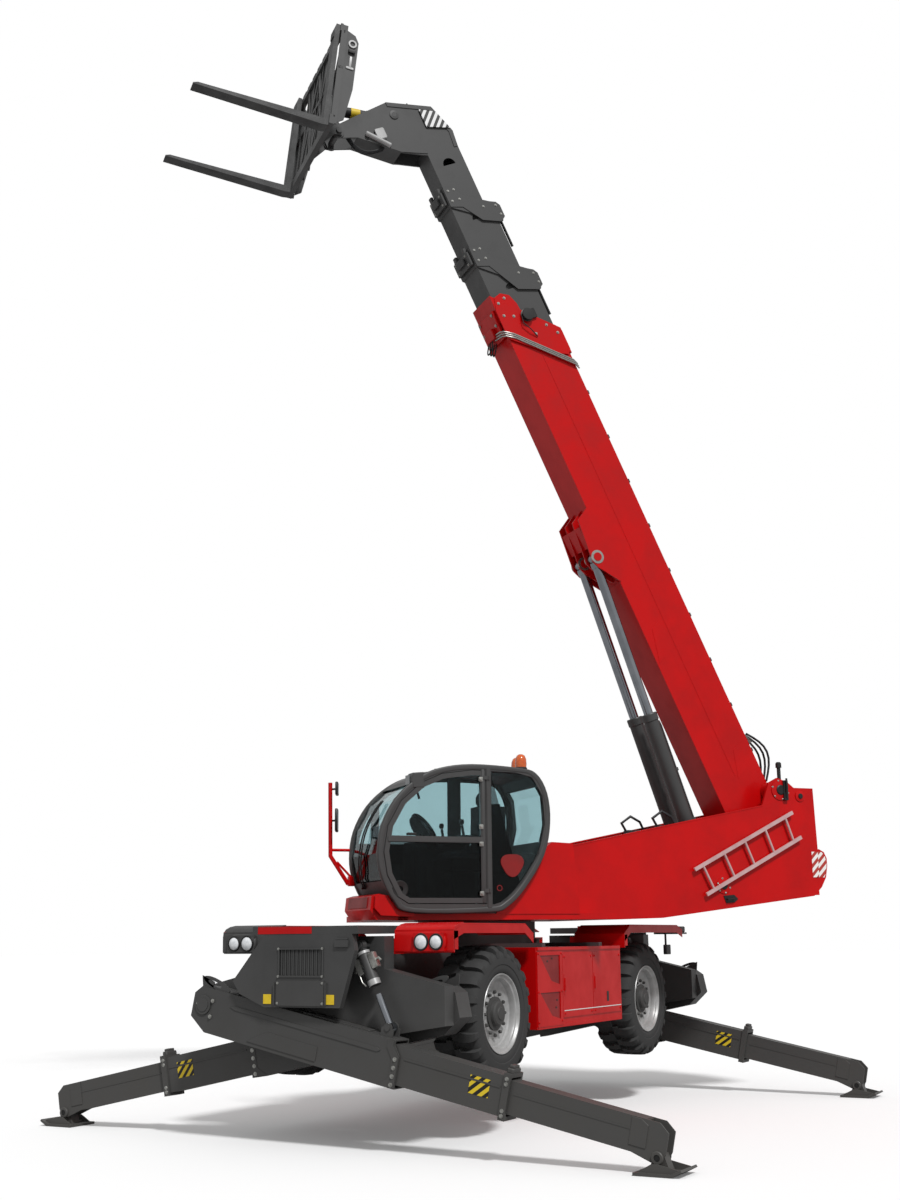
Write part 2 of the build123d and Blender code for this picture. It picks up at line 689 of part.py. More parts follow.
NOSE = [(1100, 1960), (1440, 1975), (1505, 2045), (1497, 2155), (1440, 2172), (1280, 2150), (1100, 1990)]
turret = turret + (prism_y(NOSE, CAB_INNER + 30, CAB_OUTER - 50) - cab_prism(6, 0, 2000))
parts["turret_frame"] = SLEWED * turret

ladder = None
RAILS = (((-2460, 2470), (-3790, 3130)), ((-2600, 2200), (-3890, 2850)))
for (u0, z0), (u1, z1) in RAILS:
    length = math.dist((u0, z0), (u1, z1))
    angle = math.degrees(math.atan2(z1 - z0, u1 - u0))
    rail = Pos(u0, PLATE_LEFT + 45, z0) * Rot(0, -angle, 0) * Pos(length / 2, 0, 0) * Box(length, 25, 40)
    ladder = rail if ladder is None else ladder + rail
for i in range(5):
    f = 0.08 + 0.21 * i
    a = [RAILS[0][0][k] + f * (RAILS[0][1][k] - RAILS[0][0][k]) for k in (0, 1)]
    b = [RAILS[1][0][k] + f * (RAILS[1][1][k] - RAILS[1][0][k]) for k in (0, 1)]
    length = math.dist(a, b)
    angle = math.degrees(math.atan2(b[1] - a[1], b[0] - a[0]))
    rung = Pos(a[0], PLATE_LEFT + 45, a[1]) * Rot(0, -angle, 0) * Pos(length / 2, 0, 0) * Rot(0, 90, 0)
    ladder = ladder + rung * Cylinder(14, length)
for f in (0.2, 0.8):
    for (u0, z0), (u1, z1) in RAILS:
        u = u0 + f * (u1 - u0)
        z = z0 + f * (z1 - z0)
        ladder = ladder + rod_y(u, PLATE_LEFT + 0.3, PLATE_LEFT + 45, z, 14)
parts["ladder"] = SLEWED * ladder

CAB_FLOOR = 2060
cab = cab_prism(0, CAB_INNER, CAB_OUTER) - cab_prism(-CAB_WALL, CAB_INNER + CAB_WALL, CAB_OUTER - CAB_WALL)
POST_U = 330
POST_HALF = 30
door_hole = cab_prism(-55, CAB_OUTER - CAB_WALL - 5, CAB_OUTER + 5) & box(
    POST_U + POST_HALF, 2000, 0, 2000, CAB_FLOOR + 20, 4000
)
quarter_hole = cab_prism(-60, CAB_OUTER - CAB_WALL - 5, CAB_OUTER + 5) & box(
    -2000, POST_U - POST_HALF, 0, 2000, CAB_FLOOR, 4000
)
right_hole = cab_prism(-70, CAB_INNER - 5, CAB_INNER + CAB_WALL + 5) & box(-2000, 2000, 0, 2000, 2550, 4000)
screen_hole = box(900, 1700, CAB_INNER + 60, CAB_OUTER - 60, 2300, 3240)
roof_hole = box(350, 900, CAB_INNER + 120, CAB_OUTER - 120, 3300, 3600)
rear_hole = box(-500, -200, CAB_INNER + 100, CAB_OUTER - 100, 2700, 3260)
cab = cab - door_hole - quarter_hole - right_hole - screen_hole - roof_hole - rear_hole
cab = cab + box(250, 1100, CAB_INNER + 40, CAB_OUTER - 40, 1990.3, 2050)
cab = cab + rod_z(900, 700, 1990.3, 2010, 60)
HINGE_V = CAB_OUTER + 12
HINGE_RADIUS = 11
HINGES = (2150, 3260)
parts["cab_frame"] = SLEWED * cab
GLASS = 6
shell_glass = cab_prism(-15, CAB_INNER + 20, CAB_OUTER - 20) - cab_prism(-15 - GLASS, 0, 2000)
screen = shell_glass & box(900.3, 1700, CAB_INNER + 60.3, CAB_OUTER - 60.3, 2300.3, 3239.7)
roof = shell_glass & box(350.3, 899.7, CAB_INNER + 120.3, CAB_OUTER - 120.3, 3300, 3600)
back = shell_glass & box(-500, -200, CAB_INNER + 100.3, CAB_OUTER - 100.3, 2700.3, 3259.7)
quarter = cab_prism(-60.5, CAB_OUTER - 26, CAB_OUTER - 20) & box(
    -2000, POST_U - POST_HALF - 0.3, 0, 2000, CAB_FLOOR, 4000
)
right = cab_prism(-70.5, CAB_INNER + 20, CAB_INNER + 26) & box(-2000, 2000, 0, 2000, 2550.3, 4000)
parts["cab_glass"] = SLEWED * apart(screen, roof, back, quarter, right)
DOOR_GROW = -62
DOOR_REAR = POST_U + POST_HALF + 8
DOOR_LOW = CAB_FLOOR + 28
door_body = cab_prism(DOOR_GROW, CAB_OUTER - 40, CAB_OUTER + 6) & box(DOOR_REAR, 2000, 0, 2000, DOOR_LOW, 4000)
door_inner = cab_prism(DOOR_GROW - 50, 0, 2000)
BAR_LOW = 2670
BAR_HIGH = 2730
upper_hole = door_inner & box(DOOR_REAR + 50, 2000, 0, 2000, BAR_HIGH, 4000)
lower_hole = door_inner & box(DOOR_REAR + 50, 2000, 0, 2000, DOOR_LOW + 50, BAR_LOW)
door = door_body - upper_hole - lower_hole
for z in HINGES:
    door = door + box(POST_U - 1, DOOR_REAR + 22, CAB_OUTER + 4, HINGE_V + 3, z + 39, z + 77)
    door = door + rod_z(POST_U, HINGE_V, z + 39, z + 77, HINGE_RADIUS)
parts["door_frame"] = SLEWED * door
pane = cab_prism(DOOR_GROW - 50.3, CAB_OUTER - 20, CAB_OUTER - 14)
upper_pane = pane & box(DOOR_REAR + 50.3, 2000, 0, 2000, BAR_HIGH + 0.3, 4000)
lower_pane = pane & box(DOOR_REAR + 50.3, 2000, 0, 2000, DOOR_LOW + 50.3, BAR_LOW - 0.3)
parts["door_glass"] = SLEWED * apart(upper_pane, lower_pane)
seat = box(150, 640, 480, 980, 2420, 2530) + box(110, 230, 480, 980, 2500, 3080)
seat = seat + box(350, 580, 600, 860, 2050.3, 2430)
console = box(880, 1000, 560, 900, 2050.3, 2700)
console = console + Pos(860, 730, 2800) * Rot(0, -55, 0) * Cylinder(190, 30)
console = console + Pos(910, 730, 2730) * Rot(0, -55, 0) * Cylinder(30, 160)
parts["cab_interior"] = SLEWED * apart(seat, console)

# Boom
BOOM_PLACE = SLEWED * Pos(PIVOT_U, BOOM_V, PIVOT_Z) * Rot(0, -LUFF, 0)


def hollow_section(width, low, top, start, end, slant, wall, band):
    outline = [(start, low), (end, low), (end - slant, top), (start, top)]
    body = prism_y(outline, -width / 2, width / 2)
    if band:
        collar = [
            (end - band, low - 16),
            (end + 2, low - 16),
            (end - slant - 2, top + 16),
            (end - slant - band, top + 16),
        ]
        body = body + prism_y(collar, -width / 2 - 16, width / 2 + 16)
    inner = box(start - 5, end + 50, -width / 2 + wall, width / 2 - wall, low + wall, top - wall)
    return body - inner


def half_moon(s, t, half_width, radius):
    # A pocket through both side walls, round at its front and straight at its rear.
    points = []
    for i in range(9):
        a = math.radians(-90 + 180 * i / 8)
        points.append((s + radius * math.cos(a), t + radius * math.sin(a)))
    return prism_y(points, -half_width, half_width)


base = hollow_section(BOOM_WIDTH, BOOM_LOW, BOOM_TOP, BOOM_FOOT, BOOM_TIP, 620, BOOM_WALL, 330)
base = base + rod_y(0, -BOOM_WIDTH / 2, BOOM_WIDTH / 2, 0, 105)
base = base - rod_y(0, -BOOM_WIDTH, BOOM_WIDTH, 0, PIVOT_PIN + PIN_GAP)
base = base + box(BOOM_FOOT, BOOM_FOOT + 10, -BOOM_WIDTH / 2 + 5, BOOM_WIDTH / 2 - 5, BOOM_LOW + 5, -112)
LUG = [(2950, BOOM_LOW + 5), (3200, EYE_T - 40), (3290, EYE_T - 80), (3400, EYE_T - 70), (3800, BOOM_LOW - 180), (3900, BOOM_LOW + 5)]
EYE_HALF = 60
for side in (-1, 1):
    y = side * EYE_SPREAD
    for y0 in (y - EYE_HALF - 26, y + EYE_HALF + 6):
        base = base + prism_y(LUG, y0, y0 + 20) + rod_y(EYE_S, y0, y0 + 20, EYE_T, 75)
    base = base + rod_y(EYE_S, y + EYE_HALF + 6, y + EYE_HALF + 38, EYE_T, LIFT_PIN + 5)
    base = base + rod_y(EYE_S, y - EYE_HALF - 38, y - EYE_HALF - 6, EYE_T, LIFT_PIN + 5)
parts["boom_base"] = BOOM_PLACE * base

for number, (width, low, top, start, end, slant) in ((2, SECTION_2), (3, SECTION_3)):
    section = hollow_section(width, low, top, start, end, slant, SECTION_WALL, 240)
    section = section - half_moon(end - slant - 130, -320, width / 2 + 20, 70)
    if number == 3:
        for y in (-width / 2 + 50, width / 2 - 50):
            section = section + rod_x(end - slant - 500, end - slant - 230, y, top + 13, 12)
    parts["boom_section_" + str(number)] = BOOM_PLACE * section
width, low, top, start, end, slant = SECTION_4
last = hollow_section(width, low, top, start, end, slant, SECTION_WALL, 0)
HEAD = [
    (8480, top - 2),
    (8700, -110),
    (9050, -250),
    (9230, -800),
    (9140, -1330),
    (9090, TILT_T - 60),
    (8960, TILT_T - 60),
    (8900, -1330),
    (8600, -880),
    (8480, low + 2),
]
HEAD_HALF = width / 2
last = last - half_moon(end - 255, -345, width, 85)
for y in (-HEAD_HALF, HEAD_HALF - 20):
    last = last + prism_y(HEAD, y, y + 20)
last = last + box(end - 20, end, -HEAD_HALF + 5, HEAD_HALF - 5, low + 4, top - 4)
FRONT_PLATE = [HEAD[2], HEAD[3], (HEAD[3][0] - 25, HEAD[3][1] - 6), (HEAD[2][0] - 25, HEAD[2][1] - 6)]
last = last + prism_y(FRONT_PLATE, -HEAD_HALF + 5, HEAD_HALF - 5)
UNDER_PLATE = [HEAD[8], HEAD[7], (HEAD[7][0] + 15, HEAD[7][1] + 10), (HEAD[8][0] + 20, HEAD[8][1] + 15)]
last = last + prism_y(UNDER_PLATE, -HEAD_HALF + 5, HEAD_HALF - 5)
TILT_PIN = 35
last = last + rod_y(TILT_S, -HEAD_HALF - 60, HEAD_HALF + 60, TILT_T, TILT_PIN)
TILT_ROOT = (9060, -760)
for y0, y1 in ((-HEAD_HALF - 12, -54), (54, HEAD_HALF + 12)):
    last = last + rod_y(TILT_ROOT[0], y0, y1, TILT_ROOT[1], 28)
parts["boom_section_4"] = BOOM_PLACE * last


def boom_point(s, t):
    a = math.radians(LUFF)
    return (PIVOT_U + s * math.cos(a) - t * math.sin(a), PIVOT_Z + s * math.sin(a) + t * math.cos(a))


# Fork carriage and forks, about the tilt pivot
TILT_U, TILT_Z = boom_point(TILT_S, TILT_T)
CARRIAGE_PLACE = SLEWED * Pos(TILT_U, BOOM_V, TILT_Z) * Rot(0, -FORK_PITCH, 0)
EAR = [(-45, -45), (45, -60), (240, -320), (240, 420), (60, 140), (-45, 45)]
CLEVIS_FACE = 68
CLEVIS = [(-55, 340), (10, 320), (240, 180), (240, 560), (10, 420), (-55, 400)]
carriage = None
for side in (-1, 1):
    y = side * (HEAD_HALF + 30)
    ear = prism_y(EAR, y - 12, y + 12)
    ear = ear - rod_y(0, y - 20, y + 20, 0, TILT_PIN + PIN_GAP)
    carriage = ear if carriage is None else carriage + ear
for z0, z1 in ((-400, -290), (780, 850)):
    carriage = carriage + box(225, 285, -CARRIAGE_HALF, CARRIAGE_HALF, z0, z1)
RAIL_TEETH = 9
for i in range(RAIL_TEETH):
    y = -CARRIAGE_HALF + (2 * CARRIAGE_HALF - 130) * i / (RAIL_TEETH - 1)
    carriage = carriage + box(255, 285, y, y + 130, 845, 870)
for y0, y1 in ((-860, -440), (440, 860)):
    for a, b in ((y0, y1), (y1, y0)):
        brace = [(a - 32, -300), (a + 32, -300), (b + 32, 790), (b - 32, 790)]
        carriage = carriage + prism_x(brace, 230, 242)
for y in (-CARRIAGE_HALF, -430, -190, 170, 410, CARRIAGE_HALF - 20):
    carriage = carriage + box(200, 270, y, y + 20, -390, 860)
carriage = carriage + box(235, 255, -450, 450, -300, 800) - box(230, 260, -160, 160, 100, 500)
CARRIAGE_PIN = (-20, 370)
for y in (-CLEVIS_FACE - 16, CLEVIS_FACE):
    carriage = carriage + prism_y(CLEVIS, y, y + 16)
PIN_HALF = CLEVIS_FACE + 22
carriage = carriage + rod_y(CARRIAGE_PIN[0], -PIN_HALF, PIN_HALF, CARRIAGE_PIN[1], 25)
parts["fork_carriage"] = CARRIAGE_PLACE * carriage
forks = []
for side in (-1, 1):
    y = side * FORK_SPREAD
    heel = 285.3
    outline = [
        (heel, -415),
        (heel, 865),
        (heel + 45, 865),
        (heel + 55, 780),
        (heel + 60, -345),
        (heel + FORK_LENGTH, -375),
        (heel + FORK_LENGTH + 50, -395),
        (heel + FORK_LENGTH + 50, -405),
        (heel + 60, -425),
    ]
    forks.append(prism_y(outline, y - 75, y + 75))
parts["forks"] = CARRIAGE_PLACE * apart(*forks)

# Lift cylinders
EYE_U, EYE_Z = boom_point(EYE_S, EYE_T)
LIFT_LENGTH = math.dist((EYE_U, EYE_Z), (LIFT_PIN_U, LIFT_PIN_Z))
LIFT_ANGLE = math.degrees(math.atan2(EYE_Z - LIFT_PIN_Z, EYE_U - LIFT_PIN_U))
LIFT_PLACE = SLEWED * Pos(LIFT_PIN_U, BOOM_V, LIFT_PIN_Z) * Rot(0, -LIFT_ANGLE, 0)
barrels = []
rods = []
for side in (-1, 1):
    y = side * EYE_SPREAD
    barrel = Pos(LIFT_BARREL / 2 + 40, y, 0) * Rot(0, 90, 0) * Cylinder(85, LIFT_BARREL - 80)
    barrel = barrel + rod_y(0, y - 60, y + 60, 0, 85) + box(0, 90, y - 60, y + 60, -60, 60)
    barrel = barrel - rod_y(0, y - 100, y + 100, 0, LIFT_PIN + PIN_GAP)
    barrel = barrel - Pos(LIFT_BARREL / 2 + 150, y, 0) * Rot(0, 90, 0) * Cylinder(62, LIFT_BARREL)
    barrels.append(barrel)
    rod_start = LIFT_LENGTH - LIFT_BARREL - 120 + 150
    rod = Pos((rod_start + LIFT_LENGTH - 40) / 2, y, 0) * Rot(0, 90, 0)
    rod = rod * Cylinder(55, LIFT_LENGTH - 40 - rod_start)
    rod = rod + rod_y(LIFT_LENGTH, y - EYE_HALF, y + EYE_HALF, 0, 60)
    rods.append(rod)
parts["lift_barrels"] = LIFT_PLACE * apart(*barrels)
parts["lift_rods"] = LIFT_PLACE * apart(*rods)

# Tilt cylinder: its barrel is on the carriage's pin and its rod's eye is at the head
pitch = math.radians(FORK_PITCH)
CPIN_U = TILT_U + CARRIAGE_PIN[0] * math.cos(pitch) - CARRIAGE_PIN[1] * math.sin(pitch)
CPIN_Z = TILT_Z + CARRIAGE_PIN[0] * math.sin(pitch) + CARRIAGE_PIN[1] * math.cos(pitch)
ROOT_U, ROOT_Z = boom_point(*TILT_ROOT)
TILT_LENGTH = math.dist((CPIN_U, CPIN_Z), (ROOT_U, ROOT_Z))
TILT_ANGLE = math.degrees(math.atan2(ROOT_Z - CPIN_Z, ROOT_U - CPIN_U))
TILT_PLACE = SLEWED * Pos(CPIN_U, BOOM_V, CPIN_Z) * Rot(0, -TILT_ANGLE, 0)
TILT_BARREL = 340
barrel = Pos(TILT_BARREL / 2 + 20, 0, 0) * Rot(0, 90, 0) * Cylinder(60, TILT_BARREL - 40)
barrel = barrel + rod_y(0, -50, 50, 0, 45)
barrel = barrel - rod_y(0, -60, 60, 0, 25 + PIN_GAP)
barrel = barrel - Pos(TILT_BARREL / 2 + 50, 0, 0) * Rot(0, 90, 0) * Cylinder(42, TILT_BARREL)
parts["tilt_barrel"] = TILT_PLACE * barrel
TILT_ROD_START = 268
rod = Pos((TILT_ROD_START + TILT_LENGTH - 15) / 2, 0, 0) * Rot(0, 90, 0)
rod = rod * Cylinder(36, TILT_LENGTH - 15 - TILT_ROD_START)
rod = rod + rod_y(TILT_LENGTH, -45, 45, 0, 45)
parts["tilt_rod"] = TILT_PLACE * rod

# The frame's origin is under the middle of the bounding box, on the ground.
whole = Compound([s for p in parts.values() for s in p.solids()]).bounding_box()
SHIFT_X = -(whole.min.X + whole.max.X) / 2
SHIFT_Y = -(whole.min.Y + whole.max.Y) / 2
SHIFT_Z = -whole.min.Z

if __name__ == "__main__":
    os.makedirs("parts", exist_ok=True)
    for name, shape in parts.items():
        moved = Pos(SHIFT_X, SHIFT_Y, SHIFT_Z) * shape
        export_step(moved, "parts/" + name + ".step")
    print(len(parts), "parts", SHIFT_X, SHIFT_Y, SHIFT_Z, whole.size)
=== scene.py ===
"""Looks of a slewing telehandler on outriggers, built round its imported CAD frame.

Every sub-assembly is a class whose fields are its sizes in metres. All places are in the
row frame: X forward, Y to the machine's left, Z up, and the origin under its middle.
"""

from __future__ import annotations

import json
import logging
import math
from dataclasses import dataclass, field
from enum import Enum
from typing import Callable, Iterable, Sequence

import bmesh
import bpy
from mathutils import Matrix, Vector

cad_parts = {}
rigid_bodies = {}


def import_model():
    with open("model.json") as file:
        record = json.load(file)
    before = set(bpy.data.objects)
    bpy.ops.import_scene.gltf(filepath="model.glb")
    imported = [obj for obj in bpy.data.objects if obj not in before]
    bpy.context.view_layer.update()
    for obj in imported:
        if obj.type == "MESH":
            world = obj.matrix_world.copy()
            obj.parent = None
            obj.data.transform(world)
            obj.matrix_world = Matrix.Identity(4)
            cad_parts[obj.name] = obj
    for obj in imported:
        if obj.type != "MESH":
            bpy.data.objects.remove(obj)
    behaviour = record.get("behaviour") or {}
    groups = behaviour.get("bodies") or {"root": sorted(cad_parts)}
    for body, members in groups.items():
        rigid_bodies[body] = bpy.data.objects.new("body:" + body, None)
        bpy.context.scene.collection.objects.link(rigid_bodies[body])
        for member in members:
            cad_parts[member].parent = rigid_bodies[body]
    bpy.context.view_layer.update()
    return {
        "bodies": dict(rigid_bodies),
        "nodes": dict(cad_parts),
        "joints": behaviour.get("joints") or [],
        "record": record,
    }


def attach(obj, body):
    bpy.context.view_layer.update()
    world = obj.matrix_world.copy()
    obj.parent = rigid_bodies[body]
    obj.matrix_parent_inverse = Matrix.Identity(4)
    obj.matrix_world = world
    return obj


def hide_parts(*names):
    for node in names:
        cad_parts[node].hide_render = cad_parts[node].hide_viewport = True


log = logging.getLogger("telehandler")

Point2 = tuple[float, float]
Point3 = tuple[float, float, float]


# Places

ORIGIN_X: float = 1.971256
SLEW_X: float = -1.75
SLEW_DEG: float = -39.0
BOOM_V: float = -0.075
LUFF_DEG: float = 64.3
PIVOT_U: float = -3.67
PIVOT_Z: float = 3.39
LIFT_U, LIFT_Z = -2.85, 2.3
LIFT_EYE_S, LIFT_EYE_T = 3.32, -0.8
TILT_PIN_S, TILT_PIN_T = 9.02, -1.54
CARRIAGE_DEG: float = -5.9
LEG_SLOPE: float = math.radians(11.75)
LEG_PIVOT_Y: float = 1.15
LEG_PIVOT_Z: float = 1.19
WHEEL_Y: float = 1.022
WHEEL_Z: float = 1.083


def turn(axis: str, degrees: float) -> Matrix:
    """Rotation about an axis, in degrees."""
    return Matrix.Rotation(math.radians(degrees), 4, axis)


def shift(x: float, y: float, z: float) -> Matrix:
    """Translation by three distances."""
    return Matrix.Translation(Vector((x, y, z)))


GROUND: Matrix = shift(ORIGIN_X, 0, 0)
SLEWED: Matrix = GROUND @ shift(SLEW_X, 0, 0) @ turn("Z", SLEW_DEG)
BOOM: Matrix = SLEWED @ shift(PIVOT_U, BOOM_V, PIVOT_Z) @ turn("Y", -LUFF_DEG)


def half_place(side: int) -> Matrix:
    """Ground frame of one side: as it is for the left (1), mirrored for the right."""
    return GROUND @ (Matrix.Identity(4) if side > 0 else Matrix.Scale(-1, 4, (0, 1, 0)))


def boom_point(s: float, t: float) -> Point2:
    """Turns a point of the boom's own frame into the turret's U and Z."""
    a = math.radians(LUFF_DEG)
    return (PIVOT_U + s * math.cos(a) - t * math.sin(a), PIVOT_Z + s * math.sin(a) + t * math.cos(a))


TILT_U, TILT_Z = boom_point(TILT_PIN_S, TILT_PIN_T)
CARRIAGE: Matrix = SLEWED @ shift(TILT_U, BOOM_V, TILT_Z) @ turn("Y", CARRIAGE_DEG)
EYE_U, EYE_Z = boom_point(LIFT_EYE_S, LIFT_EYE_T)
LIFT_LENGTH: float = math.dist((EYE_U, EYE_Z), (LIFT_U, LIFT_Z))
LIFT: Matrix = SLEWED @ shift(LIFT_U, BOOM_V, LIFT_Z) @ turn(
    "Y", -math.degrees(math.atan2(EYE_Z - LIFT_Z, EYE_U - LIFT_U))
)


@dataclass(frozen=True)
class Corner:
    """One corner of the machine: its name, side (1 is left) and leg plane."""

    name: str
    side: int
    leg_x: float
    wheel_x: float

    def leg_place(self) -> Matrix:
        """Leg's own frame: X along it from its pivot, Z square to it."""
        along = Vector((0, self.side * math.cos(LEG_SLOPE), -math.sin(LEG_SLOPE)))
        upward = Vector((0, self.side * math.sin(LEG_SLOPE), math.cos(LEG_SLOPE)))
        across = upward.cross(along)
        place = Matrix((along, across, upward)).transposed().to_4x4()
        place.translation = Vector((self.leg_x + ORIGIN_X, -self.side * LEG_PIVOT_Y, LEG_PIVOT_Z))
        return place

    def wheel_place(self) -> Matrix:
        """Wheel's centre, with Y pointing outward."""
        centre = shift(self.wheel_x + ORIGIN_X, self.side * WHEEL_Y, WHEEL_Z)
        return centre @ turn("Z", 0 if self.side > 0 else 180)


CORNERS: tuple[Corner, ...] = (
    Corner("front_left", 1, 1.193, 0.0),
    Corner("front_right", -1, 0.797, 0.0),
    Corner("rear_left", 1, -4.783, -3.5),
    Corner("rear_right", -1, -5.18, -3.5),
)


# Finishes


def srgb(code: str) -> tuple[float, float, float, float]:
    """Turns an sRGB hex value into a linear colour.

    Args:
        code: Six hex digits after a hash sign.

    Returns:
        Linear red, green, blue and an alpha of 1.
    """
    parts = [int(code[i : i + 2], 16) / 255 for i in (1, 3, 5)]
    linear = [c / 12.92 if c <= 0.04045 else ((c + 0.055) / 1.055) ** 2.4 for c in parts]
    return (linear[0], linear[1], linear[2], 1.0)


def add(tree: bpy.types.NodeTree, kind: str, settings: dict | None = None, **links: object) -> bpy.types.Node:
    """Adds a node with its settings and links.

    Args:
        tree: Tree that gets the node.
        kind: Node's type name.
        settings: Property names, or socket names, with their values.
        **links: Socket names, with spaces as underscores, and the output that feeds each.

    Returns:
        The node.
    """
    node = tree.nodes.new(kind)
    for name, value in (settings or {}).items():
        if name in node.inputs:
            node.inputs[name].default_value = value
        elif name.isdigit():
            node.inputs[int(name)].default_value = value
        else:
            setattr(node, name, value)
    for name, source in links.items():
        key = int(name[1:]) if name[0] == "i" and name[1:].isdigit() else name.replace("_", " ")
        tree.links.new(source, node.inputs[key])
    return node


@dataclass(frozen=True)
class Coating:
    """A surface whose colour varies slowly, with grime, grain and a fine bump.

    Sizes are in millimetres: grain is the width of the surface's own texture, and patch
    is the width of the slow changes in colour.
    """

    name: str
    colour: str
    shade: str
    roughness: float
    grain: float
    bump: float
    patch: float = 400.0
    metallic: float = 0.0
    coat: float = 0.0
    dust: float = 0.0
    dust_colour: str = "#8A8378"
    ior: float = 1.5
    extra: dict = field(default_factory=dict)

    def build(self) -> bpy.types.Material:
        """Builds the material from its own texture sizes.

        Returns:
            The material, with its pattern on Object coordinates.
        """
        material = bpy.data.materials.new(self.name)
        material.use_nodes = True
        tree = material.node_tree
        tree.nodes.clear()
        where = add(tree, "ShaderNodeTexCoord").outputs["Object"]
        slow = add(
            tree, "ShaderNodeTexNoise", {"Scale": 1000 / self.patch, "Detail": 4.0, "Roughness": 0.6},
            Vector=where,
        ).outputs["Fac"]
        fine = add(
            tree, "ShaderNodeTexNoise", {"Scale": 1000 / self.grain, "Detail": 2.0}, Vector=where,
        ).outputs["Fac"]
        steps = add(
            tree, "ShaderNodeMapRange", {"From Min": 0.38, "From Max": 0.68, "To Min": 0.0, "To Max": 1.0},
            Value=slow,
        ).outputs["Result"]
        colour = add(
            tree, "ShaderNodeMix", {"data_type": "RGBA", "6": srgb(self.colour), "7": srgb(self.shade)},
            Factor=steps,
        ).outputs[2]
        if self.dust:
            height = add(tree, "ShaderNodeSeparateXYZ", None, Vector=where).outputs["Z"]
            near = add(
                tree, "ShaderNodeMapRange",
                {"From Min": 0.0, "From Max": 1.6, "To Min": self.dust, "To Max": 0.0}, Value=height,
            ).outputs["Result"]
            amount = add(tree, "ShaderNodeMath", {"operation": "MULTIPLY"}, i0=near, i1=slow).outputs[0]
            colour = add(
                tree, "ShaderNodeMix", {"data_type": "RGBA", "7": srgb(self.dust_colour)}, Factor=amount,
                i6=colour,
            ).outputs[2]
        rough = add(
            tree, "ShaderNodeMapRange",
            {
                "From Min": 0.3, "From Max": 0.7, "To Min": max(0.02, self.roughness - 0.08),
                "To Max": min(1.0, self.roughness + 0.1),
            },
            Value=slow,
        ).outputs["Result"]
        bump = add(
            tree, "ShaderNodeBump", {"Strength": self.bump, "Distance": self.grain / 4000}, Height=fine,
        ).outputs["Normal"]
        shader = add(
            tree, "ShaderNodeBsdfPrincipled",
            {
                "Metallic": self.metallic, "IOR": self.ior, "Coat Weight": self.coat, "Coat Roughness": 0.06,
                **self.extra,
            },
            Base_Color=colour, Roughness=rough, Normal=bump,
        )
        add(tree, "ShaderNodeOutputMaterial", None, Surface=shader.outputs[0])
        return material


@dataclass(frozen=True)
class TintedPane:
    """Safety glass with a faint tint, cleaner in the middle than at dusty spots."""

    name: str
    colour: str
    roughness: float = 0.02

    def build(self) -> bpy.types.Material:
        """Builds the glass, with light dust that scatters a little."""
        material = bpy.data.materials.new(self.name)
        material.use_nodes = True
        tree = material.node_tree
        tree.nodes.clear()
        where = add(tree, "ShaderNodeTexCoord").outputs["Object"]
        film = add(tree, "ShaderNodeTexNoise", {"Scale": 5.0, "Detail": 5.0}, Vector=where).outputs["Fac"]
        rough = add(
            tree, "ShaderNodeMapRange",
            {"From Min": 0.4, "From Max": 0.8, "To Min": self.roughness, "To Max": self.roughness + 0.05},
            Value=film,
        ).outputs["Result"]
        shader = add(
            tree, "ShaderNodeBsdfPrincipled",
            {"Base Color": srgb(self.colour), "Transmission Weight": 1.0, "IOR": 1.25}, Roughness=rough,
        )
        add(tree, "ShaderNodeOutputMaterial", None, Surface=shader.outputs[0])
        return material


@dataclass(frozen=True)
class Striped:
    """Reflective sheet with slanting stripes, drawn on the piece's own UV map in metres."""

    name: str
    light: str
    dark: str
    pitch: float = 0.09

    def build(self) -> bpy.types.Material:
        """Builds the stripes with the bead texture of reflective sheet."""
        material = bpy.data.materials.new(self.name)
        material.use_nodes = True
        tree = material.node_tree
        tree.nodes.clear()
        where = add(tree, "ShaderNodeUVMap", {"uv_map": "sheet"}).outputs["UV"]
        axes = add(tree, "ShaderNodeSeparateXYZ", None, Vector=where)
        slant = add(
            tree, "ShaderNodeMath", {"operation": "SUBTRACT"}, i0=axes.outputs["X"], i1=axes.outputs["Y"],
        ).outputs[0]
        cycle = add(tree, "ShaderNodeMath", {"operation": "DIVIDE", "1": self.pitch}, i0=slant).outputs[0]
        part = add(tree, "ShaderNodeMath", {"operation": "FRACT"}, i0=cycle).outputs[0]
        edge = add(tree, "ShaderNodeMath", {"operation": "GREATER_THAN", "1": 0.5}, i0=part).outputs[0]
        colour = add(
            tree, "ShaderNodeMix", {"data_type": "RGBA", "6": srgb(self.light), "7": srgb(self.dark)},
            Factor=edge,
        ).outputs[2]
        beads = add(tree, "ShaderNodeTexVoronoi", {"Scale": 400.0}, Vector=where).outputs["Distance"]
        bump = add(
            tree, "ShaderNodeBump", {"Strength": 0.1, "Distance": 0.001}, Height=beads,
        ).outputs["Normal"]
        shader = add(tree, "ShaderNodeBsdfPrincipled", {"Roughness": 0.45}, Base_Color=colour, Normal=bump)
        add(tree, "ShaderNodeOutputMaterial", None, Surface=shader.outputs[0])
        return material


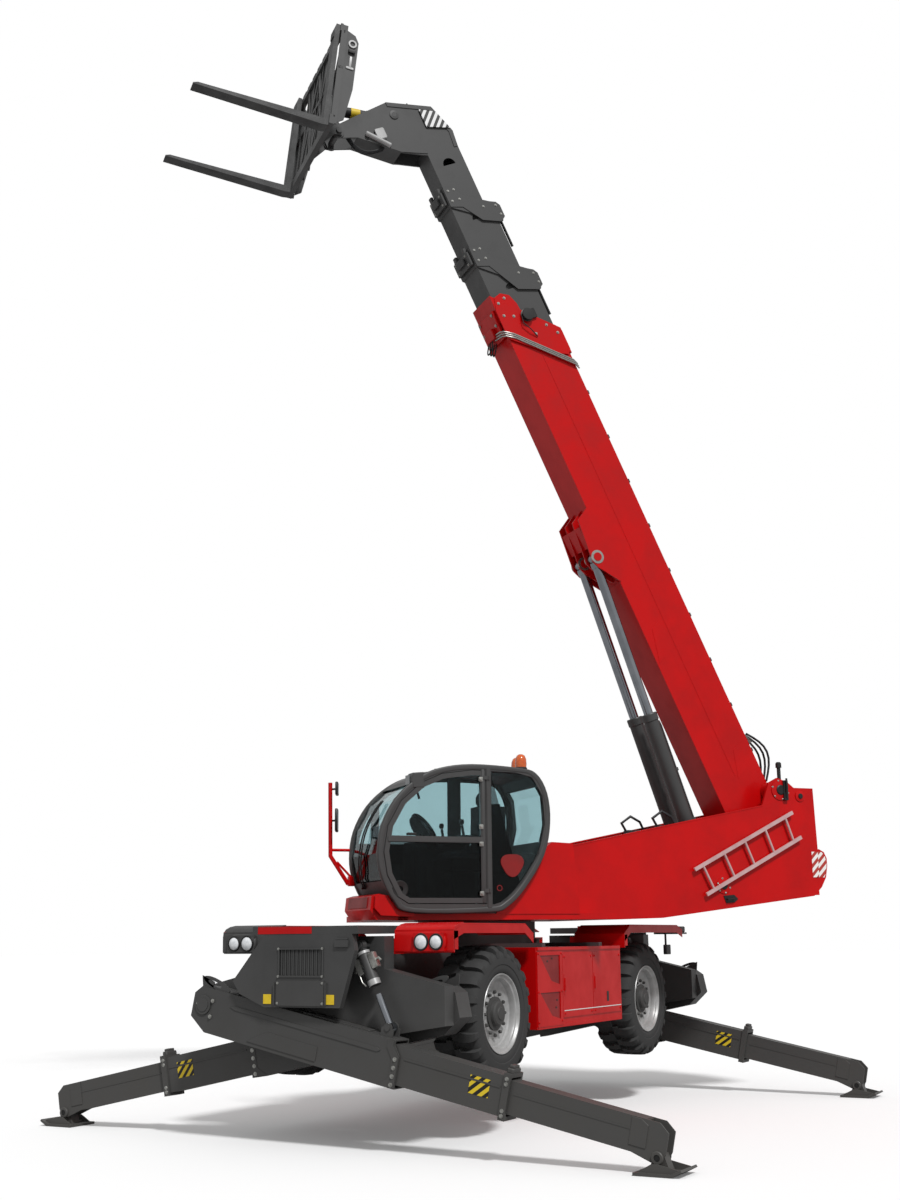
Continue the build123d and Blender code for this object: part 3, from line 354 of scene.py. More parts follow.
class Finish(Enum):
    """Every finish on the machine, each named for what the real surface is; the dark red also carries painted
    shade, and the aluminium a painted reflection.
    """

    # Two-pack enamel sprayed on steel: deep colour, clear gloss, faint orange peel.
    RED = Coating(
        "red_gloss_enamel", "#C60507", "#B60406", 0.36, 9.0, 0.05, coat=0.1,
        extra={"Specular IOR Level": 0.22},
    )
    # The same enamel in a darker red: the own colour of flat badges and plates, and painted shade on the flat
    # plates that stand for the cabinets' vent recesses.
    DARK_RED_AND_SHADE = Coating("dark_red_enamel_and_painted_shade", "#8E0A0A", "#760808", 0.45, 9.0, 0.05)
    # Satin powder coat on steel: neutral dark grey that shows soft highlights.
    CHARCOAL = Coating("charcoal_powder_coat", "#434343", "#3C3C3C", 0.46, 5.0, 0.12, dust=0.22)
    # Same coat on rough castings, with a sandy skin under it.
    CASTING = Coating("painted_cast_iron", "#3E3E3E", "#343434", 0.6, 3.0, 0.35, patch=180, dust=0.25)
    # Carbon-black rubber: matt, with a grey bloom and dust in the tread.
    RUBBER = Coating(
        "tyre_rubber", "#3A3A3A", "#303030", 0.78, 6.0, 0.35, patch=90, dust=0.35, dust_colour="#6E6A64",
    )
    SEAL = Coating("moulded_rubber_seal", "#1D1D1E", "#161617", 0.6, 2.0, 0.15, patch=120)
    # Aluminium-flake lacquer on pressed steel discs.
    SILVER = Coating(
        "silver_wheel_lacquer", "#B9B9B9", "#A2A2A1", 0.38, 2.0, 0.1, patch=110, metallic=0.35, dust=0.4,
    )
    # Hard chrome on ground steel rods: near mirror with an oily film.
    CHROME = Coating("hard_chrome_rod", "#A4A8AE", "#8C9096", 0.18, 1.5, 0.02, patch=300, metallic=1.0)
    # Forged steel, painted, with the scale's unevenness.
    FORGED = Coating("painted_forged_steel", "#3B3B3B", "#2E2E2E", 0.5, 12.0, 0.3, patch=150)
    # Extruded aluminium rails, lightly oxidised, with a pink tint in the colour that is a painted reflection
    # of the red paint behind.
    ALUMINIUM_WITH_RED_REFLECTION = Coating(
        "aluminium_with_painted_red_reflection", "#D8B4B4", "#C49C9C", 0.42, 2.0, 0.1, patch=200, metallic=0.25,
    )
    ZINC = Coating("zinc_plated_steel", "#BDBDB8", "#9A9A96", 0.35, 1.5, 0.1, patch=40, metallic=0.85)
    PLASTIC = Coating("moulded_cab_plastic", "#1F2122", "#17191A", 0.55, 2.5, 0.3, patch=160)
    TEXTILE = Coating("woven_seat_cloth", "#3A3D40", "#2E3134", 0.9, 2.2, 0.6, patch=90)
    ENGINE = Coating("engine_grey_enamel", "#5A5D5E", "#4C4F50", 0.5, 5.0, 0.2)
    BLACK = Coating("black_satin_paint", "#1C1C1C", "#141414", 0.45, 4.0, 0.15)
    LENS = Coating("clear_lamp_lens", "#F4F6F8", "#D8DCE0", 0.12, 6.0, 0.3, patch=30, coat=1.0)
    AMBER = Coating("amber_polycarbonate", "#E0691A", "#C2480C", 0.2, 8.0, 0.2, patch=30, coat=1.0)
    TAIL_RED = Coating("red_lamp_lens", "#A01414", "#7C0E0E", 0.2, 6.0, 0.3, patch=30, coat=0.8)
    YELLOW = Coating("yellow_vinyl", "#E8C928", "#DDB91E", 0.45, 3.0, 0.1, patch=60)
    WHITE = Coating("white_vinyl", "#E6E6E4", "#D6D6D3", 0.45, 3.0, 0.1, patch=60)
    HOSE = Coating("braided_hose_rubber", "#202124", "#18191B", 0.55, 2.0, 0.4, patch=60)
    MIRROR = Coating("mirror_glass", "#C8D0D4", "#B8C2C8", 0.05, 8.0, 0.01, metallic=1.0)
    LENS_DARK = Coating("clouded_lamp_lens", "#50565A", "#3E4448", 0.15, 6.0, 0.3, patch=30, coat=1.0)
    GLASS = TintedPane("tinted_safety_glass", "#BFD5D8")
    # Body-tinted laminate with a dark film, used below the driver's elbow.
    SMOKED = TintedPane("smoked_safety_glass", "#6A7476", 0.04)
    HATCH_YELLOW = Striped("yellow_black_sheet", "#E8C928", "#1A1A1A", 0.085)
    HATCH_WHITE = Striped("white_grey_sheet", "#F0F0F0", "#3A3A3A", 0.1)
    HATCH_RED = Striped("white_red_sheet", "#F2F0EC", "#B4382E", 0.1)

    def material(self) -> bpy.types.Material:
        """The built material, made once."""
        return bpy.data.materials.get(self.value.name) or self.value.build()


SLOTS: dict[Finish, str] = {
    Finish.RED: "red_paint",
    Finish.DARK_RED_AND_SHADE: "red_paint",
    Finish.WHITE: "red_paint",
    Finish.CHARCOAL: "charcoal_paint",
    Finish.BLACK: "charcoal_paint",
    Finish.YELLOW: "charcoal_paint",
    Finish.HOSE: "charcoal_paint",
    Finish.CASTING: "axle_iron",
    Finish.RUBBER: "tyre_rubber",
    Finish.SILVER: "rim_silver",
    Finish.ZINC: "rim_silver",
    Finish.CHROME: "chrome_rod",
    Finish.FORGED: "fork_steel",
    Finish.SEAL: "interior_plastic",
    Finish.PLASTIC: "interior_plastic",
    Finish.LENS: "lamp_glass",
    Finish.LENS_DARK: "lamp_glass",
    Finish.AMBER: "lamp_glass",
    Finish.TAIL_RED: "lamp_glass",
    Finish.MIRROR: "cab_glass",
}


# Mesh tools


class Shape:
    """A mesh in the making: forms are added in a local frame and placed by a matrix."""

    def __init__(self, place: Matrix | None = None) -> None:
        """Starts an empty mesh.

        Args:
            place: Frame that later forms are added in.
        """
        self.mesh = bmesh.new()
        self.place = place.copy() if place else Matrix.Identity(4)

    def loft(self, rings: Sequence[Sequence[Vector]], closed: bool = False, caps: bool = True) -> "Shape":
        """Skins rings of equal length.

        Args:
            rings: Rings of points in the local frame.
            closed: Whether the last ring joins the first.
            caps: Whether the ends are filled.

        Returns:
            This shape.
        """
        made = [[self.mesh.verts.new(self.place @ Vector(p)) for p in ring] for ring in rings]
        count = len(made[0])
        pairs = list(zip(made, made[1:]))
        if closed:
            pairs.append((made[-1], made[0]))
        for low, high in pairs:
            for i in range(count):
                j = (i + 1) % count
                self.mesh.faces.new((low[i], low[j], high[j], high[i]))
        if caps and not closed:
            self.mesh.faces.new(made[0][::-1])
            self.mesh.faces.new(made[-1])
        return self

    def prism(
        self, outline: Sequence[Point2], axis: str, low: float, high: float, chamfer: float = 0.0,
    ) -> "Shape":
        """Extrudes an outline along an axis, with its end edges broken.

        Args:
            outline: Points in the plane of the other two axes, in their order.
            axis: Axis of the extrusion.
            low: Start along the axis.
            high: End along the axis.
            chamfer: Width of the broken edge.

        Returns:
            This shape.
        """
        spots = [Vector(p) for p in outline]
        centre = sum(spots, Vector((0, 0))) / len(spots)

        def ring(at: float, inset: float) -> list[Vector]:
            out = []
            for spot in spots:
                away = spot - centre
                near = centre + away * max(0.0, 1 - inset / max(away.length, 1e-6))
                a, b = near.x, near.y
                out.append(Vector({"X": (at, a, b), "Y": (a, at, b), "Z": (a, b, at)}[axis]))
            return out

        if chamfer:
            rings = [ring(low, chamfer), ring(low + chamfer, 0), ring(high - chamfer, 0), ring(high, chamfer)]
        else:
            rings = [ring(low, 0), ring(high, 0)]
        return self.loft(rings)

    def box(self, x: Point2, y: Point2, z: Point2, chamfer: float = 0.004) -> "Shape":
        """A block with broken edges, from its three spans."""
        x0, x1 = sorted(x)
        y0, y1 = sorted(y)
        z0, z1 = sorted(z)
        c = min(chamfer, (x1 - x0) / 3, (y1 - y0) / 3)
        outline = [
            (x0 + c, y0), (x1 - c, y0), (x1, y0 + c), (x1, y1 - c), (x1 - c, y1), (x0 + c, y1), (x0, y1 - c),
            (x0, y0 + c),
        ]
        return self.prism(outline, "Z", z0, z1, min(chamfer, (z1 - z0) / 3))

    def turned(
        self, profile: Sequence[Point2], axis: str = "Y", sides: int = 48, centre: Point3 = (0, 0, 0),
    ) -> "Shape":
        """Turns a closed profile of (radius, distance along the axis) points about an axis.

        Args:
            profile: Points of the closed profile; a radius of 0 closes at a pole.
            axis: Axis of the turning.
            sides: Steps round the axis.
            centre: Point that the axis passes through, where the distance is 0.

        Returns:
            This shape.
        """
        middle = Vector(centre)

        def spot(r: float, along: float, a: float) -> Vector:
            c, s = r * math.cos(a), r * math.sin(a)
            return middle + Vector({"X": (along, c, s), "Y": (s, along, c), "Z": (c, s, along)}[axis])

        poles: dict[int, bmesh.types.BMVert] = {}
        columns = []
        for k in range(sides):
            a = 2 * math.pi * k / sides
            column = []
            for i, (r, along) in enumerate(profile):
                if r < 1e-6:
                    if i not in poles:
                        poles[i] = self.mesh.verts.new(self.place @ spot(0, along, 0))
                    column.append(poles[i])
                else:
                    column.append(self.mesh.verts.new(self.place @ spot(r, along, a)))
            columns.append(column)
        closed = profile[0][0] > 1e-6 or profile[-1][0] > 1e-6
        steps = range(len(profile) if closed else len(profile) - 1)
        for k in range(sides):
            here, there = columns[k], columns[(k + 1) % sides]
            for i in steps:
                j = (i + 1) % len(profile)
                ring = [here[i], here[j], there[j], there[i]]
                unique = list(dict.fromkeys(ring))
                if len(unique) > 2:
                    self.mesh.faces.new(unique)
        return self

    def rod(
        self, start: Point3, end: Point3, radius: float, sides: int = 24, chamfer: float = 0.0,
    ) -> "Shape":
        """A round bar between two points."""
        return self.tube([start, end], radius, sides, chamfer)

    def tube(self, path: Sequence[Point3], radius: float, sides: int = 12, chamfer: float = 0.0) -> "Shape":
        """Sweeps a circle along a path, with mitred bends.

        Args:
            path: Points of the centre line.
            radius: Radius of the tube.
            sides: Sides of the circle.
            chamfer: Width of the broken edge at both ends.

        Returns:
            This shape.
        """
        spots = [Vector(p) for p in path]
        runs = [(b - a).normalized() for a, b in zip(spots, spots[1:])]
        radii = [radius] * len(spots)
        if chamfer:
            spots = [
                spots[0], spots[0] + runs[0] * chamfer, *spots[1:-1], spots[-1] - runs[-1] * chamfer,
                spots[-1],
            ]
            radii = [radius - chamfer, *([radius] * (len(spots) - 2)), radius - chamfer]
            runs = [runs[0], *runs, runs[-1]]
        side = runs[0].orthogonal().normalized()
        rings = []
        for i, spot in enumerate(spots):
            before = runs[max(0, i - 1)]
            after = runs[min(i, len(runs) - 1)]
            facing = (before + after).normalized()
            side = (side - facing * side.dot(facing)).normalized()
            other = facing.cross(side)
            stretch = 1 / max(0.5, facing.dot(after))
            bend = (after - before).normalized() if (after - before).length > 1e-4 else None
            ring = []
            for k in range(sides):
                a = 2 * math.pi * k / sides
                reach = side * math.cos(a) + other * math.sin(a)
                if bend is not None:
                    outward = (bend - facing * bend.dot(facing)).normalized()
                    reach = reach + outward * reach.dot(outward) * (stretch - 1)
                ring.append(spot + reach * radii[i])
            rings.append(ring)
        return self.loft(rings)

    def plate(self, corners: Sequence[Point3], thick: float) -> "Shape":
        """A flat plate from its front corners, with its thickness behind them."""
        front = [Vector(c) for c in corners]
        normal = (front[1] - front[0]).cross(front[2] - front[1]).normalized()
        back = [c - normal * thick for c in front]
        return self.loft([back, front])

    def object(self, name: str, finish: Finish, smooth: float | None = 35.0) -> bpy.types.Object:
        """Closes the mesh and makes its object, at the origin.

        Args:
            name: Object's name.
            finish: Its finish.
            smooth: Angle up to which edges are smooth, in degrees, or None for flat.

        Returns:
            The object.
        """
        bmesh.ops.remove_doubles(self.mesh, verts=self.mesh.verts, dist=1e-5)
        bmesh.ops.recalc_face_normals(self.mesh, faces=self.mesh.faces)
        if smooth is not None:
            limit = math.radians(smooth)
            for face in self.mesh.faces:
                face.smooth = True
            for edge in self.mesh.edges:
                edge.smooth = len(edge.link_faces) == 2 and edge.calc_face_angle(0.0) < limit
        data = bpy.data.meshes.new(name)
        self.mesh.to_mesh(data)
        self.mesh.free()
        made = bpy.data.objects.new(name, data)
        bpy.context.scene.collection.objects.link(made)
        data.materials.append(finish.material())
        return made


class Repeater:
    """Geometry Nodes tree that repeats one item along a line or round an axis."""

    INPUTS = (
        ("Count", "NodeSocketInt", 6), ("Step", "NodeSocketVector", (0.0, 0.0, 0.0)),
        ("Turn", "NodeSocketVector", (0.0, 0.0, 0.0)), ("Jitter", "NodeSocketFloat", 0.0),
        ("Seed", "NodeSocketInt", 7), ("Finish", "NodeSocketMaterial", None),
    )

    def __init__(self) -> None:
        """Builds the tree once."""
        self.tree = bpy.data.node_groups.new("repeat_item", "GeometryNodeTree")
        face = self.tree.interface
        face.new_socket("Geometry", in_out="INPUT", socket_type="NodeSocketGeometry")
        for name, kind, value in self.INPUTS:
            made = face.new_socket(name, in_out="INPUT", socket_type=kind)
            if value is not None:
                made.default_value = value
        face.new_socket("Geometry", in_out="OUTPUT", socket_type="NodeSocketGeometry")
        tree = self.tree
        given = add(tree, "NodeGroupInput")
        index = add(tree, "GeometryNodeInputIndex").outputs[0]
        offset = add(
            tree, "ShaderNodeVectorMath", {"operation": "SCALE"}, i0=given.outputs["Step"], Scale=index,
        ).outputs[0]
        angle = add(
            tree, "ShaderNodeVectorMath", {"operation": "SCALE"}, i0=given.outputs["Turn"], Scale=index,
        ).outputs[0]
        points = add(
            tree, "GeometryNodePoints", None, Count=given.outputs["Count"], Position=offset,
        ).outputs[0]
        low = add(
            tree, "ShaderNodeMath", {"operation": "SUBTRACT", "0": 1.0}, i1=given.outputs["Jitter"],
        ).outputs[0]
        size = add(
            tree, "FunctionNodeRandomValue", {"data_type": "FLOAT", "3": 1.0}, i2=low,
            Seed=given.outputs["Seed"],
        ).outputs[1]
        placed = add(
            tree, "GeometryNodeInstanceOnPoints", None, Points=points, Instance=given.outputs["Geometry"],
            Rotation=angle, Scale=size,
        ).outputs[0]
        real = add(tree, "GeometryNodeRealizeInstances", None, Geometry=placed).outputs[0]
        painted = add(
            tree, "GeometryNodeSetMaterial", None, Geometry=real, Material=given.outputs["Finish"],
        ).outputs[0]
        add(tree, "NodeGroupOutput", None, Geometry=painted)
        self.keys = {s.name: s.identifier for s in face.items_tree if s.in_out == "INPUT"}

    def run(
        self, item: bpy.types.Object, finish: Finish, count: int, step: Point3 = (0, 0, 0),
        about: Point3 = (0, 0, 0), jitter: float = 0.0, seed: int = 7, place: Matrix | None = None,
    ) -> bpy.types.Object:
        """Repeats an item and leaves a plain mesh.

        Args:
            item: One item, in its local frame.
            finish: Finish of every copy.
            count: Number of copies.
            step: Move from one copy to the next.
            about: Turn from one copy to the next, in degrees about X, Y and Z.
            jitter: Largest share by which a copy is smaller.
            seed: Seed of that change.
            place: Frame that the copies stand in.

        Returns:
            The same object, with all copies in its mesh.
        """
        modifier = item.modifiers.new("repeat", "NODES")
        modifier.node_group = self.tree
        values = {
            "Count": count, "Step": tuple(float(v) for v in step),
            "Turn": tuple(math.radians(v) for v in about), "Jitter": float(jitter), "Seed": seed,
            "Finish": finish.material(),
        }
        for name, value in values.items():
            modifier[self.keys[name]] = value
        graph = bpy.context.evaluated_depsgraph_get()
        mesh = bpy.data.meshes.new_from_object(item.evaluated_get(graph))
        item.modifiers.remove(modifier)
        item.data = mesh
        if place is not None:
            mesh.transform(place)
        return item


class Studs:
    """Geometry Nodes tree that sets a bolt head at every point of a mesh."""

    def __init__(self) -> None:
        """Builds the tree once."""
        self.tree = bpy.data.node_groups.new("bolt_at_points", "GeometryNodeTree")
        face = self.tree.interface
        face.new_socket("Geometry", in_out="INPUT", socket_type="NodeSocketGeometry")
        for name, kind in (
            ("Radius", "NodeSocketFloat"), ("Height", "NodeSocketFloat"), ("Facing", "NodeSocketVector"),
            ("Finish", "NodeSocketMaterial"),
        ):
            face.new_socket(name, in_out="INPUT", socket_type=kind)
        face.new_socket("Geometry", in_out="OUTPUT", socket_type="NodeSocketGeometry")
        tree = self.tree
        given = add(tree, "NodeGroupInput")
        head = add(
            tree, "GeometryNodeMeshCone", {"Vertices": 6}, Radius_Bottom=given.outputs["Radius"],
            Radius_Top=add(
                tree, "ShaderNodeMath", {"operation": "MULTIPLY", "1": 0.82}, i0=given.outputs["Radius"],
            ).outputs[0],
            Depth=given.outputs["Height"],
        ).outputs[0]
        washer = add(
            tree, "GeometryNodeMeshCone", {"Vertices": 12},
            Radius_Bottom=add(
                tree, "ShaderNodeMath", {"operation": "MULTIPLY", "1": 1.5}, i0=given.outputs["Radius"],
            ).outputs[0],
            Radius_Top=add(
                tree, "ShaderNodeMath", {"operation": "MULTIPLY", "1": 1.4}, i0=given.outputs["Radius"],
            ).outputs[0],
            Depth=add(
                tree, "ShaderNodeMath", {"operation": "MULTIPLY", "1": 0.3}, i0=given.outputs["Height"],
            ).outputs[0],
        ).outputs[0]
        both = add(tree, "GeometryNodeJoinGeometry")
        tree.links.new(head, both.inputs[0])
        tree.links.new(washer, both.inputs[0])
        facing = add(
            tree, "FunctionNodeAlignRotationToVector", {"axis": "Z"}, Vector=given.outputs["Facing"],
        ).outputs[0]
        placed = add(
            tree, "GeometryNodeInstanceOnPoints", None, Points=given.outputs["Geometry"],
            Instance=both.outputs[0], Rotation=facing,
        ).outputs[0]
        real = add(tree, "GeometryNodeRealizeInstances", None, Geometry=placed).outputs[0]
        painted = add(
            tree, "GeometryNodeSetMaterial", None, Geometry=real, Material=given.outputs["Finish"],
        ).outputs[0]
        add(tree, "NodeGroupOutput", None, Geometry=painted)
        self.keys = {s.name: s.identifier for s in face.items_tree if s.in_out == "INPUT"}

    def run(
        self, name: str, points: Iterable[Point3], facing: Point3, radius: float = 0.012,
        finish: Finish = Finish.ZINC, place: Matrix | None = None, height: float | None = None,
    ) -> bpy.types.Object:
        """Makes one mesh of bolt heads with washers.

        Args:
            name: Object's name.
            points: Where the heads sit, in the local frame.
            facing: Direction the heads point in.
            radius: Radius of a head.
            finish: Finish of the heads.
            place: Local frame.
            height: Height of a head, or None for one radius.

        Returns:
            The object.
        """
        data = bpy.data.meshes.new(name)
        data.from_pydata([tuple(p) for p in points], [], [])
        made = bpy.data.objects.new(name, data)
        bpy.context.scene.collection.objects.link(made)
        modifier = made.modifiers.new("bolts", "NODES")
        modifier.node_group = self.tree
        modifier[self.keys["Radius"]] = radius
        modifier[self.keys["Height"]] = height or radius
        modifier[self.keys["Facing"]] = facing
        modifier[self.keys["Finish"]] = finish.material()
        graph = bpy.context.evaluated_depsgraph_get()
        mesh = bpy.data.meshes.new_from_object(made.evaluated_get(graph))
        made.modifiers.remove(modifier)
        made.data = mesh
        if place is not None:
            mesh.transform(place)
        return made


class Dresser:
    """Puts finished pieces on the frame's bodies and keeps a count of them."""

    def __init__(self, frame: dict) -> None:
        """Keeps the loaded frame and the two repeating tools.
        """
        self.nodes: dict[str, bpy.types.Object] = frame["nodes"]
        self.repeater = Repeater()
        self.studs = Studs()
        self.made = 0

    def coat(self, node: str, finish: Finish, slot: str | None = None) -> bpy.types.Object:
        """Gives a carried-over CAD node its finish."""
        piece = self.nodes[node]
        piece.data.materials.clear()
        piece.data.materials.append(finish.material())
        for face in piece.data.polygons:
            face.material_index = 0
        return piece

    def coat_where(
        self, node: str, finishes: Sequence[Finish], choose: Callable[[Vector, Vector], int],
    ) -> None:
        """Gives a CAD node several finishes by where its faces are.

        Args:
            node: Node's name.
            finishes: Finishes that a face may have.
            choose: Takes a face's centre and normal and returns the finish's index.
        """
        piece = self.nodes[node]
        piece.data.materials.clear()
        for finish in finishes:
            piece.data.materials.append(finish.material())
        for face in piece.data.polygons:
            face.material_index = choose(face.center, face.normal)

    def place(self, piece: bpy.types.Object, body: str, slot: str, replaces: Sequence[str] = ()) -> None:
        """Puts a finished piece on a body.

        Args:
            piece: The piece, in its place in the row frame.
            body: CAD body that it rides on.
            slot: Record's material slot. Not used.
            replaces: CAD nodes that it stands for.
        """
        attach(piece, body)
        if replaces:
            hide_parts(*replaces)
        self.made += 1
        log.info("%s: %d faces on %s", piece.name, len(piece.data.polygons), body)

    def put(
        self, shape: Shape, name: str, finish: Finish, body: str, smooth: float | None = 30.0, slot: str = "",
        replaces: Sequence[str] = (),
    ) -> None:
        """Closes a shape and puts it on a body.

        Args:
            shape: The piece's shape.
            name: Object's name.
            finish: Its finish.
            body: CAD body that it rides on.
            smooth: Angle up to which edges are smooth, in degrees, or None for flat.
            slot: Record's material slot, where it isn't the finish's own.
            replaces: CAD nodes that it stands for.
        """
        self.place(shape.object(name, finish, smooth), body, slot or SLOTS[finish], replaces)

    def bolt(
        self, name: str, points: Iterable[Point3], facing: Point3, body: str, radius: float = 0.012,
        finish: Finish = Finish.ZINC, place: Matrix | None = None, height: float | None = None,
        slot: str = "rim_silver",
    ) -> None:
        """Puts one mesh of bolt heads on a body.

        Args:
            name: Object's name.
            points: Where the heads sit, in the local frame.
            facing: Direction the heads point in.
            body: CAD body that they ride on.
            radius: Radius of a head.
            finish: Finish of the heads.
            place: Local frame.
            height: Height of a head, or None for one radius.
            slot: Record's material slot.
        """
        self.place(self.studs.run(name, points, facing, radius, finish, place, height), body, slot)


def sheet_sign(
    name: str, corners: Sequence[Point3], place: Matrix, finish: Finish, thick: float = 0.003
) -> bpy.types.Object:
    """A thin sign plate whose UV map is in metres along its first edge and up its second.

    Args:
        name: Object's name.
        corners: Front corners, in the local frame, counter-clockwise from outside.
        place: Local frame.
        finish: Finish of the sign.
        thick: Thickness of the plate.

    Returns:
        The object.
    """
    made = Shape(place).plate(corners, thick).object(name, finish, smooth=None)
    start = Vector(corners[0])
    along = (Vector(corners[1]) - start).normalized()
    normal = along.cross(Vector(corners[2]) - Vector(corners[1])).normalized()
    up = normal.cross(along)
    back = place.inverted()
    layer = made.data.uv_layers.new(name="sheet")
    for loop in made.data.loops:
        local = back @ made.data.vertices[loop.vertex_index].co - start
        layer.data[loop.index].uv = (local.dot(along), local.dot(up))
    return made


# Sub-assemblies


@dataclass
class Wheel:
    """One wheel: a lugged tyre on a dished steel disc with a planetary hub."""

    corner: Corner
    radius: float = 0.606
    carcass: float = 0.566
    half_width: float = 0.222
    rim_radius: float = 0.345
    lugs: int = 22
    bolts: int = 12

    def tyre(self, dresser: Dresser) -> None:
        """Builds the carcass and its two rows of tread bars."""
        place = self.corner.wheel_place()
        w = self.half_width
        profile = [
            (0.327, -w + 0.058), (0.352, -w + 0.03), (0.372, -w + 0.012), (0.40, -w + 0.006),
            (0.43, -w + 0.009), (0.436, -w + 0.003), (0.50, -w + 0.003), (0.53, -w + 0.012),
            (0.552, -w + 0.04), (self.carcass, -w + 0.09), (self.carcass + 0.004, 0.0),
        ]
        profile = profile + [(r, -y) for r, y in profile[-2::-1]]
        carcass = Shape(place).turned(profile, "Y", 72).object(
            "tyre_carcass_" + self.corner.name, Finish.RUBBER, 40,
        )
        rows = [self._tread_row(dresser, place, side) for side in (-1, 1)]
        work = bmesh.new()
        for part in [carcass, *rows]:
            work.from_mesh(part.data)
        work.to_mesh(carcass.data)
        work.free()
        for row in rows:
            bpy.data.objects.remove(row)
        dresser.place(carcass, "wheel_" + self.corner.name, "tyre_rubber", ["tyre_" + self.corner.name])

    def _tread_row(self, dresser: Dresser, place: Matrix, side: int) -> bpy.types.Object:
        """One row of bars on one half of the tread."""
        w = self.half_width
        spans = [
            (0.004, -0.052, 0.040, 0.562, self.radius), (0.055, -0.058, 0.052, 0.562, self.radius),
            (0.060, -0.034, 0.060, 0.562, self.radius), (0.120, -0.030, 0.060, 0.556, self.radius - 0.001),
            (0.165, -0.026, 0.060, 0.548, self.radius - 0.005),
            (0.195, -0.022, 0.058, 0.535, self.radius - 0.02),
            (w - 0.006, -0.018, 0.054, 0.520, self.radius - 0.045),
            (w, -0.012, 0.046, 0.500, self.radius - 0.075),
        ]
        rings = []
        for y, a0, a1, low, high in spans:
            ring = []
            for along, r in ((a0, low), (a1, low), (a1 - 0.005, high), (a0 + 0.005, high)):
                a = along / self.radius
                ring.append(Vector((r * math.sin(a), side * y, r * math.cos(a))))
            rings.append(ring)
        bar = Shape().loft(rings).object(f"bar_{side}", Finish.RUBBER, 25)
        offset = turn("Y", 180 / self.lugs if side > 0 else 0)
        return dresser.repeater.run(
            bar, Finish.RUBBER, self.lugs, about=(0, 360 / self.lugs, 0), jitter=0.004, seed=3,
            place=place @ offset,
        )

    def disc(self, dresser: Dresser) -> None:
        """Builds the rim, hub and wheel bolts."""
        place = self.corner.wheel_place()
        r = self.rim_radius
        w = 0.225
        profile = [
            (r - 0.021, -w + 0.06), (r - 0.021, w - 0.06), (r + 0.008, w - 0.028), (r + 0.011, w - 0.022),
            (r + 0.008, w - 0.017), (r - 0.002, w - 0.02), (r - 0.016, w - 0.04), (r - 0.032, w - 0.046),
            (r - 0.040, w - 0.062), (r - 0.046, w - 0.10), (r - 0.060, w - 0.112), (r - 0.085, w - 0.116),
            (0.225, w - 0.132), (0.205, w - 0.13), (0.176, w - 0.108), (0.168, w - 0.104), (0.062, w - 0.104),
            (0.062, w - 0.158), (r - 0.05, w - 0.158), (r - 0.045, -w + 0.06), (r - 0.015, -w + 0.012),
            (r + 0.010, -w + 0.025),
        ]
        rim = Shape(place).turned(profile, "Y", 64).object("rim_disc_" + self.corner.name, Finish.SILVER, 30)
        dresser.place(rim, "wheel_" + self.corner.name, "rim_silver", ["rim_" + self.corner.name])
        hub = [
            (0.0, w - 0.102), (0.150, w - 0.102), (0.150, w - 0.086), (0.118, w - 0.080), (0.112, w - 0.052),
            (0.098, w - 0.040), (0.060, w - 0.036), (0.052, w - 0.028), (0.0, w - 0.026),
        ]
        cap = Shape(place).turned(hub, "Y", 40).object(
            "planetary_hub_" + self.corner.name, Finish.CASTING, 30,
        )
        dresser.place(cap, "wheel_" + self.corner.name, "axle_iron")
        nut = Shape().turned(
            [(0.0, w - 0.104), (0.017, w - 0.104), (0.016, w - 0.084), (0.010, w - 0.078), (0.0, w - 0.078)],
            "Y", 6, (0.0, 0.0, 0.19),
        )
        nuts = dresser.repeater.run(
            nut.object("wheel_nuts_" + self.corner.name, Finish.CASTING, 30), Finish.CASTING, self.bolts,
            about=(0, 360 / self.bolts, 0), place=place,
        )
        dresser.place(nuts, "wheel_" + self.corner.name, "axle_iron")

    def build(self, dresser: Dresser) -> None:
        """Builds the wheel and coats its knuckle."""
        self.tyre(dresser)
        self.disc(dresser)
        dresser.coat("knuckle_" + self.corner.name, Finish.CASTING, "axle_iron")


